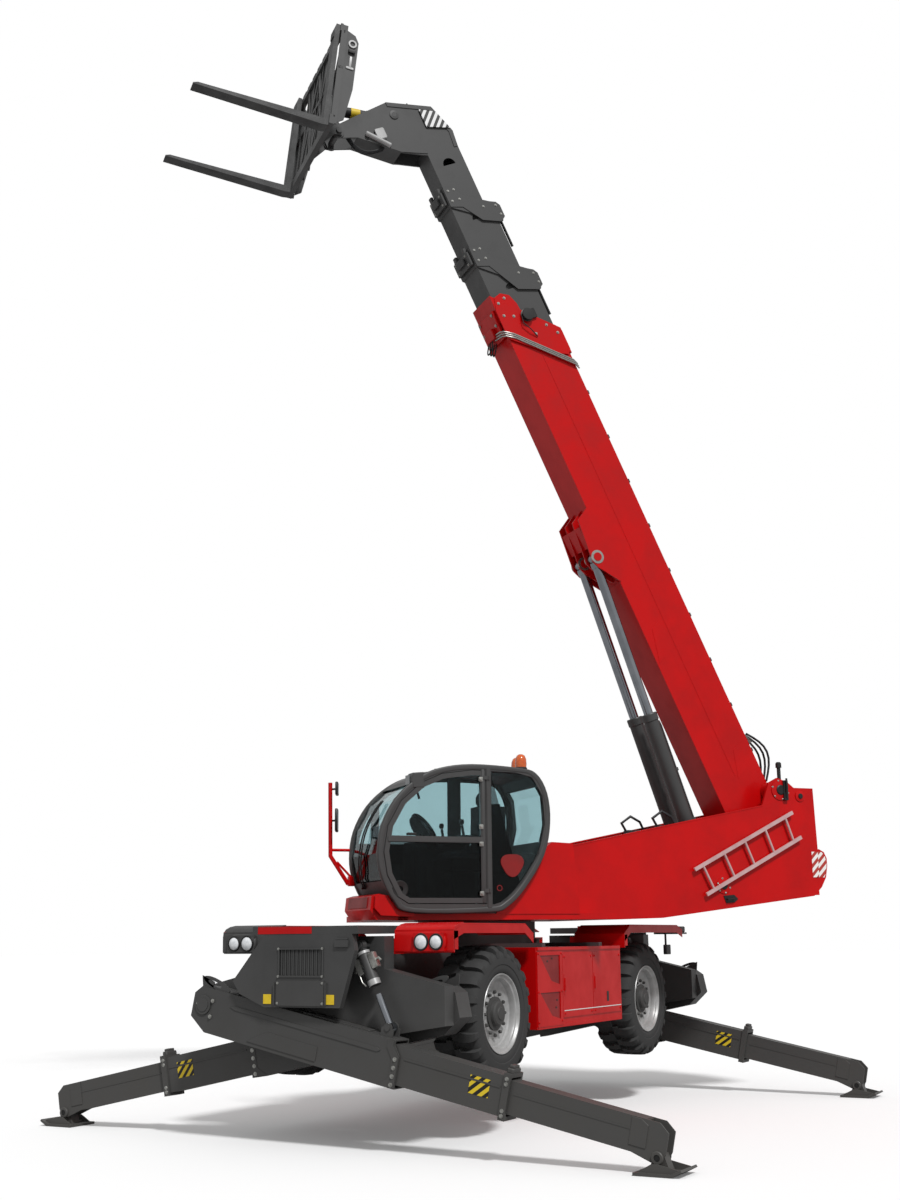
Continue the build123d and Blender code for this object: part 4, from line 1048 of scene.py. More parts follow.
@dataclass
class Outrigger:
    """One outrigger: its housing, two stages, foot and cylinder, with their fittings."""

    corner: Corner
    housing_end: float = 2.12
    stage_1_end: float = 3.166
    half_width: float = 0.11
    foot_s: float = 4.466
    foot_t: float = -0.162
    axis_t: float = -0.04
    housing_high: float = 0.195
    stage_1_high: float = 0.16
    stage_2_high: float = 0.132

    def outer(self) -> int:
        """Sign of the local Y side that faces away from the machine."""
        faces_front = self.corner.name.startswith("front")
        return (-1 if faces_front else 1) * self.corner.side

    def build(self, dresser: Dresser) -> None:
        """Coats the nodes and adds the fittings of every moving part."""
        name = self.corner.name
        for node in ("leg_housing_", "leg_stage_1_", "leg_stage_2_", "leg_foot_", "leg_barrel_"):
            dresser.coat(node + name, Finish.CHARCOAL, "charcoal_paint")
        dresser.coat("leg_rod_" + name, Finish.CHROME, "chrome_rod")
        self.housing(dresser)
        self.stages(dresser)
        self.cylinder(dresser)

    def housing(self, dresser: Dresser) -> None:
        """Adds the end flange, side stiffeners, pivot rings, pivot guard and bolts."""
        place = self.corner.leg_place()
        body = "leg_" + self.corner.name
        low, high = self.axis_t - self.housing_high, self.axis_t + self.housing_high
        work = Shape(place)
        for y in (-self.half_width, self.half_width):
            out = 0.003 if y > 0 else -0.007
            span = sorted((y, y + out))
            step = [
                (self.housing_end - 0.16, low + 0.004), (self.housing_end - 0.004, low + 0.004),
                (self.housing_end - 0.004, high - 0.13), (self.housing_end - 0.07, high - 0.05),
                (self.housing_end - 0.07, high - 0.006), (self.housing_end - 0.13, high - 0.006),
                (self.housing_end - 0.13, high - 0.07), (self.housing_end - 0.07, high - 0.15),
                (self.housing_end - 0.07, low + 0.08),
            ]
            work.prism(step, "Y", *span)
            rail = [(0.30, 0.045), (0.36, 0.062), (1.90, 0.062), (1.93, 0.045), (1.90, 0.028), (0.36, 0.028)]
            work.prism(rail, "Y", *span, chamfer=0.002)
            patch = [(0.55, -0.20), (0.75, -0.075), (1.30, -0.075), (1.30, -0.20)]
            work.prism(patch, "Y", *span, chamfer=0.002)
            ring = [(0.045, y), (0.085, y), (0.085, y + out * 2), (0.045, y + out * 2)]
            work.turned(ring, "Y", 32)
        work.box((0.02, 0.35), (-0.085, 0.085), (high, high + 0.012))
        work.box((1.05, 1.75), (-0.05, 0.05), (high, high + 0.010))
        dresser.put(work, "housing_flange_" + self.corner.name, Finish.CHARCOAL, body)
        by_frame = self.outer() > 0
        y = self.outer() * (self.half_width + (0.003 if by_frame else 0.007))
        head = 0.004 if by_frame else 0.013
        spots = [(self.housing_end - 0.036, y, low + 0.03 + 0.07 * k) for k in range(4)]
        spots += [(0.10, y, low + 0.15), (0.10, y, high - 0.10), (-0.06, y, 0.0)]
        dresser.bolt(
            "housing_bolts_" + self.corner.name, spots, (0, self.outer(), 0), body, 0.013, place=place,
            height=head,
        )
        eye = Shape(place)
        eye_y = self.outer() * 0.084
        outline = []
        for k in range(24):
            a = 2 * math.pi * k / 24
            outline.append(
                (0.09 + 0.16 * math.cos(a), high + 0.045 + 0.045 * math.sin(a) - 0.03 * math.cos(a))
            )
        hole = [((x - 0.09) * 0.5 + 0.07, (z - high - 0.045) * 0.45 + high + 0.045) for x, z in outline]
        rings = []
        for path, at in ((outline, -0.006), (outline, 0.006), (hole, 0.006), (hole, -0.006)):
            rings.append([Vector((x, eye_y + at, z)) for x, z in path])
        eye.loft(rings, closed=True)
        dresser.put(eye, "pivot_guard_" + self.corner.name, Finish.CHARCOAL, body)

    def stages(self, dresser: Dresser) -> None:
        """Adds the pads, hatch signs and foot fittings of the two stages."""
        place = self.corner.leg_place()
        name = self.corner.name
        work = Shape(place)
        top = self.axis_t + self.stage_1_high
        work.box(
            (self.stage_1_end - 0.06, self.stage_1_end - 0.005), (-0.075, 0.075), (top + 0.02, top + 0.062),
            0.008,
        )
        work.box(
            (self.stage_1_end - 0.055, self.stage_1_end - 0.01), (-0.05, 0.05), (top + 0.06, top + 0.085),
            0.006,
        )
        for y in (-0.093, 0.093):
            out = 0.004 if y > 0 else -0.004
            work.prism(
                [(2.16, 0.03), (3.08, 0.03), (3.08, 0.016), (2.16, 0.016)], "Y", *sorted((y - out, y + out)),
            )
        dresser.put(work, "stage_pads_" + name, Finish.CHARCOAL, "leg_stage_1_" + name)
        for y in (-0.0925, 0.0925):
            s0, s1, t0, t1 = 2.80, 2.985, -0.09, 0.055
            front = [(s0, y, t0), (s1, y, t0), (s1, y, t1), (s0, y, t1)]
            if y > 0:
                front = [(s1, y, t0), (s0, y, t0), (s0, y, t1), (s1, y, t1)]
            corners = [(s, v + (0.002 if y > 0 else -0.002), t) for s, v, t in front]
            side = "a" if y < 0 else "b"
            dresser.place(
                sheet_sign(f"hatch_sign_{side}_{name}", corners, place, Finish.HATCH_YELLOW, 0.002),
                "leg_stage_1_" + name, "charcoal_paint",
            )
        bolts = [(self.stage_1_end - 0.03, self.outer() * 0.111, t) for t in (-0.19, -0.15, 0.06, 0.10)]
        dresser.bolt(
            "stage_bolts_" + name, bolts, (0, self.outer(), 0), "leg_stage_1_" + name, 0.012, place=place,
            height=0.004 if self.outer() > 0 else 0.012,
        )
        far = Shape(place)
        for y in (-0.0765, 0.0765):
            out = 0.012 if y > 0 else -0.012
            ring = [(0.026, y), (0.050, y), (0.050, y + out), (0.044, y + out * 1.4), (0.026, y + out * 1.4)]
            far.turned(ring, "Y", 32, (self.foot_s, 0, self.foot_t))
            trim = 0.003 if y > 0 else -0.003
            low, high = self.axis_t - self.stage_2_high, self.axis_t + self.stage_2_high
            far.prism(
                [(3.20, 0.0), (4.25, 0.0), (4.25, -0.012), (3.20, -0.012)], "Y",
                *sorted((y - trim, y + trim)),
            )
            cheek = [
                (4.22, high - 0.006), (4.30, high - 0.006), (4.36, high - 0.04), (4.36, low + 0.05),
                (4.22, low + 0.05),
            ]
            far.prism(cheek, "Y", *sorted((y, y + 2 * trim)), chamfer=0.002)
        dresser.put(far, "foot_pin_collars_" + name, Finish.CHARCOAL, "leg_stage_2_" + name)
        pins = Shape(place)
        pins.turned(
            [(0.0, -0.088), (0.024, -0.088), (0.024, 0.088), (0.0, 0.088)], "Y", 24,
            (self.foot_s, 0, self.foot_t),
        )
        dresser.put(pins, "foot_pin_ends_" + name, Finish.BLACK, "leg_stage_2_" + name)
        side = self.corner.side
        reach = self.foot_s * math.cos(LEG_SLOPE) + self.foot_t * math.sin(LEG_SLOPE)
        y0 = -side * LEG_PIVOT_Y + side * reach
        here = Matrix(((0, -side, 0, 0), (side, 0, 0, 0), (0, 0, 1, 0), (0, 0, 0, 1)))
        here.translation = Vector((self.corner.leg_x + ORIGIN_X, y0, 0.0))
        ribs = Shape(here)
        for y in (-0.13, 0.13):
            ribs.prism(
                [(-0.15, 0.02), (0.12, 0.02), (0.19, 0.05), (0.02, 0.085), (-0.03, 0.085)], "Y", y - 0.006,
                y + 0.006,
            )
        ribs.box((-0.055, 0.055), (-0.128, -0.05), (0.02, 0.035))
        ribs.box((-0.055, 0.055), (0.05, 0.128), (0.02, 0.035))
        dresser.put(ribs, "foot_ribs_" + name, Finish.CHARCOAL, "leg_foot_" + name)

    def cylinder(self, dresser: Dresser) -> None:
        """Adds the gland bands, and the lock valve with its pipe, to the leg's cylinder."""
        place = self.corner.leg_place()
        top = Vector((self.corner.leg_x + ORIGIN_X, self.corner.side * 0.47, 1.70))
        eye = place @ Vector((1.93, 0, 0.225))
        axis = (eye - top).normalized()
        frame = Matrix((axis, Vector((1, 0, 0)).cross(axis) * -1, Vector((1, 0, 0)))).transposed().to_4x4()
        frame.translation = top
        work = Shape(frame)
        work.turned([(0.0515, 0.316), (0.0555, 0.318), (0.0555, 0.367), (0.0515, 0.369)], "X", 36)
        work.turned([(0.0525, 0.06), (0.058, 0.062), (0.058, 0.085), (0.0525, 0.087)], "X", 36)
        dresser.put(
            work, "leg_gland_" + self.corner.name, Finish.SILVER, "leg_barrel_" + self.corner.name,
            slot="charcoal_paint",
        )
        valve = Shape(frame)
        for out in (-1, 1):
            valve.box((0.10, 0.24), (out * 0.045, out * 0.105), (-0.035, 0.035), 0.006)
            valve.tube([(0.17, out * 0.10, 0.0), (0.17, out * 0.125, 0.0), (0.20, out * 0.14, 0.0)], 0.011)
        pipe = [(0.22, 0.10, 0.02), (0.30, 0.10, 0.02), (0.345, 0.075, 0.02)]
        valve.tube(pipe, 0.008)
        dresser.put(valve, "lock_valve_" + self.corner.name, Finish.ZINC, "leg_barrel_" + self.corner.name)


@dataclass
class Undercarriage:
    """Chassis covers, cabinets, fenders and lamps."""

    hood_x: float = 1.375
    cabinet_y: float = 1.222
    lamp_x: float = 0.965
    slats: int = 11

    def build(self, dresser: Dresser) -> None:
        """Coats the chassis nodes and adds the panels, grilles and lamps."""
        dresser.coat("chassis_frame", Finish.CHARCOAL, "charcoal_paint")
        dresser.coat("axles", Finish.CASTING, "axle_iron")
        dresser.coat("engine_block", Finish.ENGINE, "engine_grey")
        dresser.coat("side_cabinets", Finish.RED, "red_paint")
        front = ORIGIN_X + 0.86
        dresser.coat_where(
            "fenders", [Finish.RED, Finish.CHARCOAL], lambda c, n: int(c.y < 0 and c.x > front),
        )
        dresser.coat("end_covers", Finish.CHARCOAL, "charcoal_paint")
        self.covers(dresser)
        self.cabinets(dresser)
        self.fender_trim(dresser)
        self.lamps(dresser)

    def covers(self, dresser: Dresser) -> None:
        """Adds fine slats, frames, reflectors and fasteners to both end covers."""
        for end, side, place in (
            ("front", 1, GROUND @ shift(self.hood_x, 0, 0)),
            ("rear", -1, GROUND @ shift(-5.342, 0, 0) @ turn("Z", 180)),
        ):
            y0, y1 = sorted((-0.26 * side, 0.19 * side))
            z0, z1 = 1.45, 1.67
            back = Shape(place).box(
                (-0.0215, -0.0195), (y0 + 0.001, y1 - 0.001), (z0 + 0.001, z1 - 0.001), 0.0005,
            )
            dresser.put(back, f"grille_shadow_{end}", Finish.BLACK, "chassis", 35)
            frame = Shape(place)
            for y in (y0 - 0.016, y1):
                frame.box((0.0005, 0.009), (y, y + 0.016), (z0 - 0.016, z1 + 0.016), 0.003)
            for z in (z0 - 0.016, z1):
                frame.box((0.0005, 0.009), (y0, y1), (z, z + 0.016), 0.003)
            frame.box((0.0005, 0.018), (0.34 * side, 0.46 * side), (1.752, 1.766), 0.003)
            dresser.put(frame, f"cover_frames_{end}", Finish.CHARCOAL, "chassis")
            step = (y1 - y0) / self.slats
            slat = Shape().box((-0.019, -0.004), (y0 + step - 0.005, y0 + step + 0.005), (z0, z1), 0.002)
            slats = dresser.repeater.run(
                slat.object(f"grille_slats_{end}", Finish.CHARCOAL, 30), Finish.CHARCOAL, self.slats - 1,
                step=(0, step, 0), place=place,
            )
            dresser.place(slats, "chassis", "charcoal_paint")
            spots = [(0.009, y, z) for y in (y0 - 0.008, y1 + 0.008) for z in (z0 - 0.008, z1 + 0.008)]
            spots += [(0.010, y, z) for y in (y0 - 0.012, y1 + 0.012) for z in (1.215, 1.385)]
            dresser.bolt(f"grille_bolts_{end}", spots, (1, 0, 0), "chassis", 0.008, place=place)
            marks = Shape(place)
            for y in (-0.425, 0.240):
                a, b = sorted((y * side, (y + 0.085) * side))
                marks.plate(
                    [(0.0065, a, 1.208), (0.0065, b, 1.208), (0.0065, b, 1.29), (0.0065, a, 1.29)], 0.002,
                )
            dresser.put(marks, f"cover_reflectors_{end}", Finish.YELLOW, "chassis", None)
            strip = Shape(place).box((0.0005, 0.004), (-0.50 * side, 0.08 * side), (1.806, 1.866), 0.001)
            strip.box((-0.30, 0.0), (-0.50 * side, 0.08 * side), (1.8705, 1.873), 0.001)
            dresser.put(strip, f"cover_strip_{end}", Finish.RED, "chassis")

    def cabinets(self, dresser: Dresser) -> None:
        """Adds the doors, painted shade for the vents, sill and fasteners of both side cabinets."""
        for side, name in ((1, "left"), (-1, "right")):
            place = half_place(side)
            y = self.cabinet_y
            doors = Shape(place)
            doors.box((-0.74, -2.76), (y - 0.02, y + 0.014), (1.632, 1.662), 0.004)
            doors.box((-0.74, -2.76), (y - 0.05, y + 0.006), (0.898, 0.93), 0.004)
            for x in (-1.335, -2.065):
                doors.box((x - 0.018, x + 0.012), (y + 0.010, y + 0.0125), (1.20, 1.40), 0.001)
            dresser.put(doors, f"cabinet_rails_{name}", Finish.RED, "chassis")
            # Thin dark red plates on the flat cabinet face: painted shade standing for the recessed vent
            # pockets.
            dark = Shape(place)
            for low, high in ((1.303, 1.584), (0.976, 1.234)):
                corners = [
                    (-1.232, high - 0.002), (-0.790, high - 0.002), (-1.037, low + 0.039),
                    (-1.232, low + 0.002),
                ]
                dark.prism(corners, "Y", y + 0.0003, y + 0.004)
            dresser.put(dark, f"cabinet_vent_painted_shade_{name}", Finish.DARK_RED_AND_SHADE, "chassis")
            small = Shape(place)
            small.box((-2.37, -2.42), (y + 0.0103, y + 0.013), (1.10, 1.20), 0.001)
            for x, z in ((-0.95, 1.52), (-1.05, 1.545), (-1.15, 1.15), (-1.13, 1.08)):
                small.box((x, x - 0.03), (y + 0.004, y + 0.007), (z, z + 0.016), 0.001)
            dresser.put(small, f"cabinet_catches_{name}", Finish.BLACK, "chassis")
            stripe = Shape(place)
            stripe.box((-1.32, -2.74), (y + 0.0105, y + 0.0125), (1.045, 1.053), 0.0008)
            dresser.put(stripe, f"cabinet_line_{name}", Finish.WHITE, "chassis")
            spots = [(x, y + 0.012, z) for x in (-0.752, -1.268) for z in (0.96, 1.24, 1.60)]
            spots += [(x, y + 0.010, z) for x in (-1.34, -1.98, -2.07, -2.72) for z in (1.02, 1.565)]
            dresser.bolt(
                f"cabinet_bolts_{name}", spots, (0, 1, 0), "chassis", 0.009, Finish.RED, place=place,
                slot="red_paint",
            )
            posts = Shape(place)
            posts.tube([(-1.30, 0.95, 1.66), (-1.30, 0.95, 1.74)], 0.03, 20)
            posts.box((-1.36, -1.24), (0.92, 0.98), (1.735, 1.75), 0.004)
            dresser.put(posts, f"filler_neck_{name}", Finish.BLACK, "chassis")

    def fender_trim(self, dresser: Dresser) -> None:
        """Adds rolled lips to the fenders, and a nose, lamp housing and liner to the front ones."""
        for side, name in ((1, "left"), (-1, "right")):
            place = half_place(side)
            for front, rear, nose, tail, end in (
                (0.92, -0.64, 1.83, 1.79, "front"), (-2.86, -4.64, 1.79, 1.83, "rear"),
            ):
                lip = Shape(place)
                path = [
                    (front - 0.006, 1.240, 1.66), (front - 0.006, 1.240, nose - 0.012),
                    (front - 0.184, 1.240, 1.872), (rear + 0.184, 1.240, 1.872),
                    (rear + 0.008, 1.240, tail - 0.012),
                ]
                for a, b in zip(path, path[1:]):
                    d = Vector((b[0] - a[0], 0, b[2] - a[2])).normalized()
                    n = Vector((d.z, 0, -d.x)) if d.x < -0.1 else Vector((-1, 0, 0))
                    n = Vector((0, 0, -1)) if abs(d.x) > 0.5 else n
                    drop = n * 0.075
                    lip.prism(
                        [
                            (a[0], a[2]), (b[0], b[2]), (b[0] + drop.x, b[2] + drop.z),
                            (a[0] + drop.x, a[2] + drop.z),
                        ],
                        "Y", 1.240, 1.247,
                    )
                dresser.put(lip, f"fender_lip_{end}_{name}", Finish.RED, "chassis")
            nose_box = Shape(place)
            curve = [
                (0.90, 1.632), (0.924, 1.65), (0.927, 1.78), (0.918, 1.825), (0.885, 1.857), (0.82, 1.880),
                (0.74, 1.892),
            ]
            curve += [(0.74, 1.872), (0.80, 1.858), (0.87, 1.836), (0.90, 1.80)]
            nose_box.prism(curve, "Y", 0.652, 1.2465)
            nose_finish, slot = (Finish.RED, "red_paint") if side > 0 else (Finish.CHARCOAL, "charcoal_paint")
            dresser.put(nose_box, f"fender_nose_{name}", nose_finish, "chassis", 50, slot=slot)
            hood = Shape(place)
            ring = []
            for k in range(32):
                a = 2 * math.pi * k / 32
                bulge = (
                    abs(math.cos(a)) ** 0.7 * (1 if math.cos(a) > 0 else -1),
                    abs(math.sin(a)) ** 0.7 * (1 if math.sin(a) > 0 else -1),
                )
                ring.append((1.015 + 0.168 * bulge[0], 1.724 + 0.088 * bulge[1]))
            hood.prism(ring, "X", 0.916, 0.956, 0.012)
            dresser.put(hood, f"lamp_housing_{name}", nose_finish, "chassis", 50, slot=slot)
            under = Shape(place)
            under.prism(
                [(0.72, 1.868), (0.86, 1.822), (0.86, 1.812), (0.72, 1.858), (-0.45, 1.858), (-0.45, 1.868)],
                "Y", 0.66, 1.235,
            )
            dresser.put(under, f"fender_liner_{name}", Finish.BLACK, "chassis")

    def lamps(self, dresser: Dresser) -> None:
        """Replaces the lamp discs by reflectors with lenses, and adds the tail lamps."""
        bowls, lenses, rings = Shape(GROUND), Shape(GROUND), Shape(GROUND)
        for side in (-1, 1):
            for y, r in ((0.94, 0.062), (1.09, 0.058)):
                at = (0.0, side * y, 1.725)
                x = self.lamp_x
                rings.turned(
                    [
                        (r - 0.004, x - 0.044), (r + 0.016, x - 0.044), (r + 0.016, x - 0.012),
                        (r + 0.009, x), (r - 0.001, x),
                    ],
                    "X", 40, at,
                )
                bowls.turned(
                    [
                        (0.0, x - 0.04), (r - 0.002, x - 0.04), (r - 0.002, x - 0.012),
                        (r - 0.008, x - 0.012), (0.018, x - 0.034), (0.018, x - 0.02), (0.0, x - 0.014),
                    ],
                    "X", 40, at,
                )
                lenses.turned(
                    [
                        (0.0, x - 0.008), (r - 0.002, x - 0.011), (r - 0.002, x - 0.004),
                        (r * 0.6, x + 0.010), (r * 0.25, x + 0.014), (0.0, x + 0.015),
                    ],
                    "X", 40, at,
                )
        dresser.put(rings, "head_lamp_bezels", Finish.BLACK, "chassis", 35, replaces=["lamps"])
        dresser.put(bowls, "head_lamp_bowls", Finish.CHROME, "chassis", 35, slot="lamp_glass")
        dresser.put(lenses, "head_lamp_lenses", Finish.LENS, "chassis", 35)
        bars, reds = Shape(GROUND), Shape(GROUND)
        for side in (-1, 1):
            bars.box((-4.64, -4.86), (side * 0.88, side * 1.22), (1.78, 1.80), 0.004)
            bars.box((-4.70, -4.86), (side * 0.90, side * 1.20), (1.80, 1.87), 0.010)
            bars.tube([(-4.20, side * 1.20, 1.86), (-4.20, side * 1.20, 1.66)], 0.012)
            bars.box((-4.14, -4.27), (side * 1.19, side * 1.235), (1.55, 1.66), 0.006)
            reds.box((-4.855, -4.872), (side * 0.93, side * 1.17), (1.812, 1.858), 0.004)
        dresser.put(bars, "tail_lamp_bars", Finish.CHARCOAL, "chassis")
        dresser.put(reds, "tail_lamp_lenses", Finish.TAIL_RED, "chassis")


@dataclass
class Turret:
    """Slewing frame with its side plates, tail signs, pins and ladder."""

    plate_left: float = 0.40
    plate_right: float = -0.55

    def build(self, dresser: Dresser) -> None:
        """Coats the turret and adds its pins, tail signs, mast and edges."""
        dresser.coat("turret_frame", Finish.RED, "red_paint")
        # The ladder's pink tint is a painted reflection of the red paint around it.
        dresser.coat("ladder", Finish.ALUMINIUM_WITH_RED_REFLECTION, "ladder_aluminium")
        self.pins(dresser)
        self.tail(dresser)
        self.edges(dresser)

    def pins(self, dresser: Dresser) -> None:
        """Adds keeper plates and pin ends at the boom's pivot and the lift pins."""
        plates, ends = Shape(SLEWED), Shape(SLEWED)
        for v, out in ((self.plate_left, 1), (self.plate_right, -1)):
            for u, z, r in ((PIVOT_U, PIVOT_Z, 0.095), (LIFT_U, LIFT_Z, 0.07), (-3.935, 3.325, 0.05)):
                plates.turned(
                    [(r * 0.62, v), (r * 1.25, v), (r * 1.25, v + out * 0.010), (r * 0.62, v + out * 0.016)],
                    "Y", 40, (u, 0, z),
                )
                ends.turned(
                    [
                        (0.0, v - out * 0.01), (r * 0.6, v - out * 0.01), (r * 0.6, v + out * 0.022),
                        (r * 0.5, v + out * 0.028), (0.0, v + out * 0.028),
                    ],
                    "Y", 32, (u, 0, z),
                )
        dresser.put(plates, "pin_keepers", Finish.RED, "turret")
        dresser.put(ends, "pin_ends", Finish.BLACK, "turret")
        for v, out, name in ((self.plate_left + 0.010, 1, "left"), (self.plate_right - 0.010, -1, "right")):
            spots = []
            for u, z, r in ((PIVOT_U, PIVOT_Z, 0.108), (LIFT_U, LIFT_Z, 0.08)):
                for k in range(6):
                    a = math.pi * k / 3 + 0.3
                    spots.append((u + r * math.cos(a), v, z + r * math.sin(a)))
            facing = tuple(SLEWED.to_3x3() @ Vector((0, out, 0)))
            placed = [tuple(SLEWED @ Vector(p)) for p in spots]
            dresser.bolt(f"keeper_bolts_{name}", placed, facing, "turret", 0.008)

    def tail(self, dresser: Dresser) -> None:
        """Adds the tail's hatch signs, the light mast and the fittings beside it."""
        for v, name in ((self.plate_left + 0.003, "left"), (self.plate_right - 0.003, "right")):
            back = -4.135 if name == "left" else -4.13
            corners = [(-4.05, v, 2.40), (back, v, 2.40), (back, v, 2.69), (-4.05, v, 2.69)]
            dresser.place(
                sheet_sign(f"tail_sign_{name}", corners, SLEWED, Finish.HATCH_RED), "turret", "red_paint",
            )
        curve = [
            (-4.135, 2.70), (-4.20, 2.69), (-4.245, 2.64), (-4.262, 2.56), (-4.25, 2.46), (-4.22, 2.40),
            (-4.135, 2.40),
        ]
        side = Shape(SLEWED).prism(curve, "Y", 0.3803, 0.3835)
        dresser.place(self._striped(side, "tail_sign_curve"), "turret", "red_paint")
        post = Shape(SLEWED)
        post.tube([(-3.735, 0.30, 3.45), (-3.735, 0.30, 3.66)], 0.022, 20)
        post.turned(
            [(0.0, 0.0), (0.034, 0.0), (0.034, 0.05), (0.022, 0.065), (0.0, 0.067)], "Z", 24,
            (-3.735, 0.30, 3.66),
        )
        post.box((-3.76, -3.70), (0.402, 0.44), (3.27, 3.50), 0.006)
        post.tube([(-3.73, 0.44, 3.30), (-3.73, 0.46, 3.42), (-3.73, 0.45, 3.52)], 0.012)
        dresser.put(post, "tail_mast", Finish.BLACK, "turret")
        fitting = Shape(SLEWED)
        fitting.prism(
            [(-2.84, 2.19), (-2.98, 2.20), (-3.03, 2.155), (-2.98, 2.115), (-2.87, 2.11)], "Y", 0.400, 0.409,
            0.003,
        )
        fitting.tube(
            [(-2.88, 0.405, 2.155), (-2.88, 0.44, 2.15), (-2.96, 0.44, 2.155), (-2.96, 0.405, 2.16)], 0.009,
        )
        dresser.put(fitting, "tie_down_eye", Finish.BLACK, "turret")

    @staticmethod
    def _striped(shape: Shape, name: str) -> bpy.types.Object:
        """Finishes a striped form whose UV map is the turret's U and Z, in metres."""
        made = shape.object(name, Finish.HATCH_RED, None)
        back = SLEWED.inverted()
        layer = made.data.uv_layers.new(name="sheet")
        for loop in made.data.loops:
            local = back @ made.data.vertices[loop.vertex_index].co
            layer.data[loop.index].uv = (-local.x, local.z)
        return made

    def edges(self, dresser: Dresser) -> None:
        """Adds the flanges and a gusset along the side plates, and the bridge of the lift hoses."""
        work = Shape(SLEWED)
        top = [(-0.82, 2.69), (-2.61, 3.05), (-3.42, 3.21)]
        for v0, v1 in (
            (self.plate_left - 0.055, self.plate_left + 0.004),
            (self.plate_right - 0.004, self.plate_right + 0.055),
        ):
            for (u0, z0), (u1, z1) in zip(top, top[1:]):
                work.prism([(u0, z0), (u1, z1), (u1, z1 - 0.014), (u0, z0 - 0.014)], "Y", v0, v1, 0.002)
        work.prism(
            [(-0.93, 1.935), (-1.16, 1.935), (-0.93, 2.27)], "Y", self.plate_left, self.plate_left + 0.06,
        )
        dresser.put(work, "side_plate_flanges", Finish.RED, "turret")
        base = Shape(SLEWED)
        for v, wall in ((-0.44, -0.548), (0.29, 0.398)):
            base.box((-2.42, -2.08), (v - 0.05, v + 0.05), (2.88, 2.96), 0.012)
            base.box((-2.34, -2.20), (v, wall), (2.90, 2.93), 0.004)
            base.tube(
                [(-2.10, v, 2.94), (-2.04, v, 3.04), (-2.16, v, 3.12), (-2.28, v, 3.06), (-2.34, v, 2.94)],
                0.014, 12,
            )
        dresser.put(base, "lift_hose_bridge", Finish.HOSE, "turret")


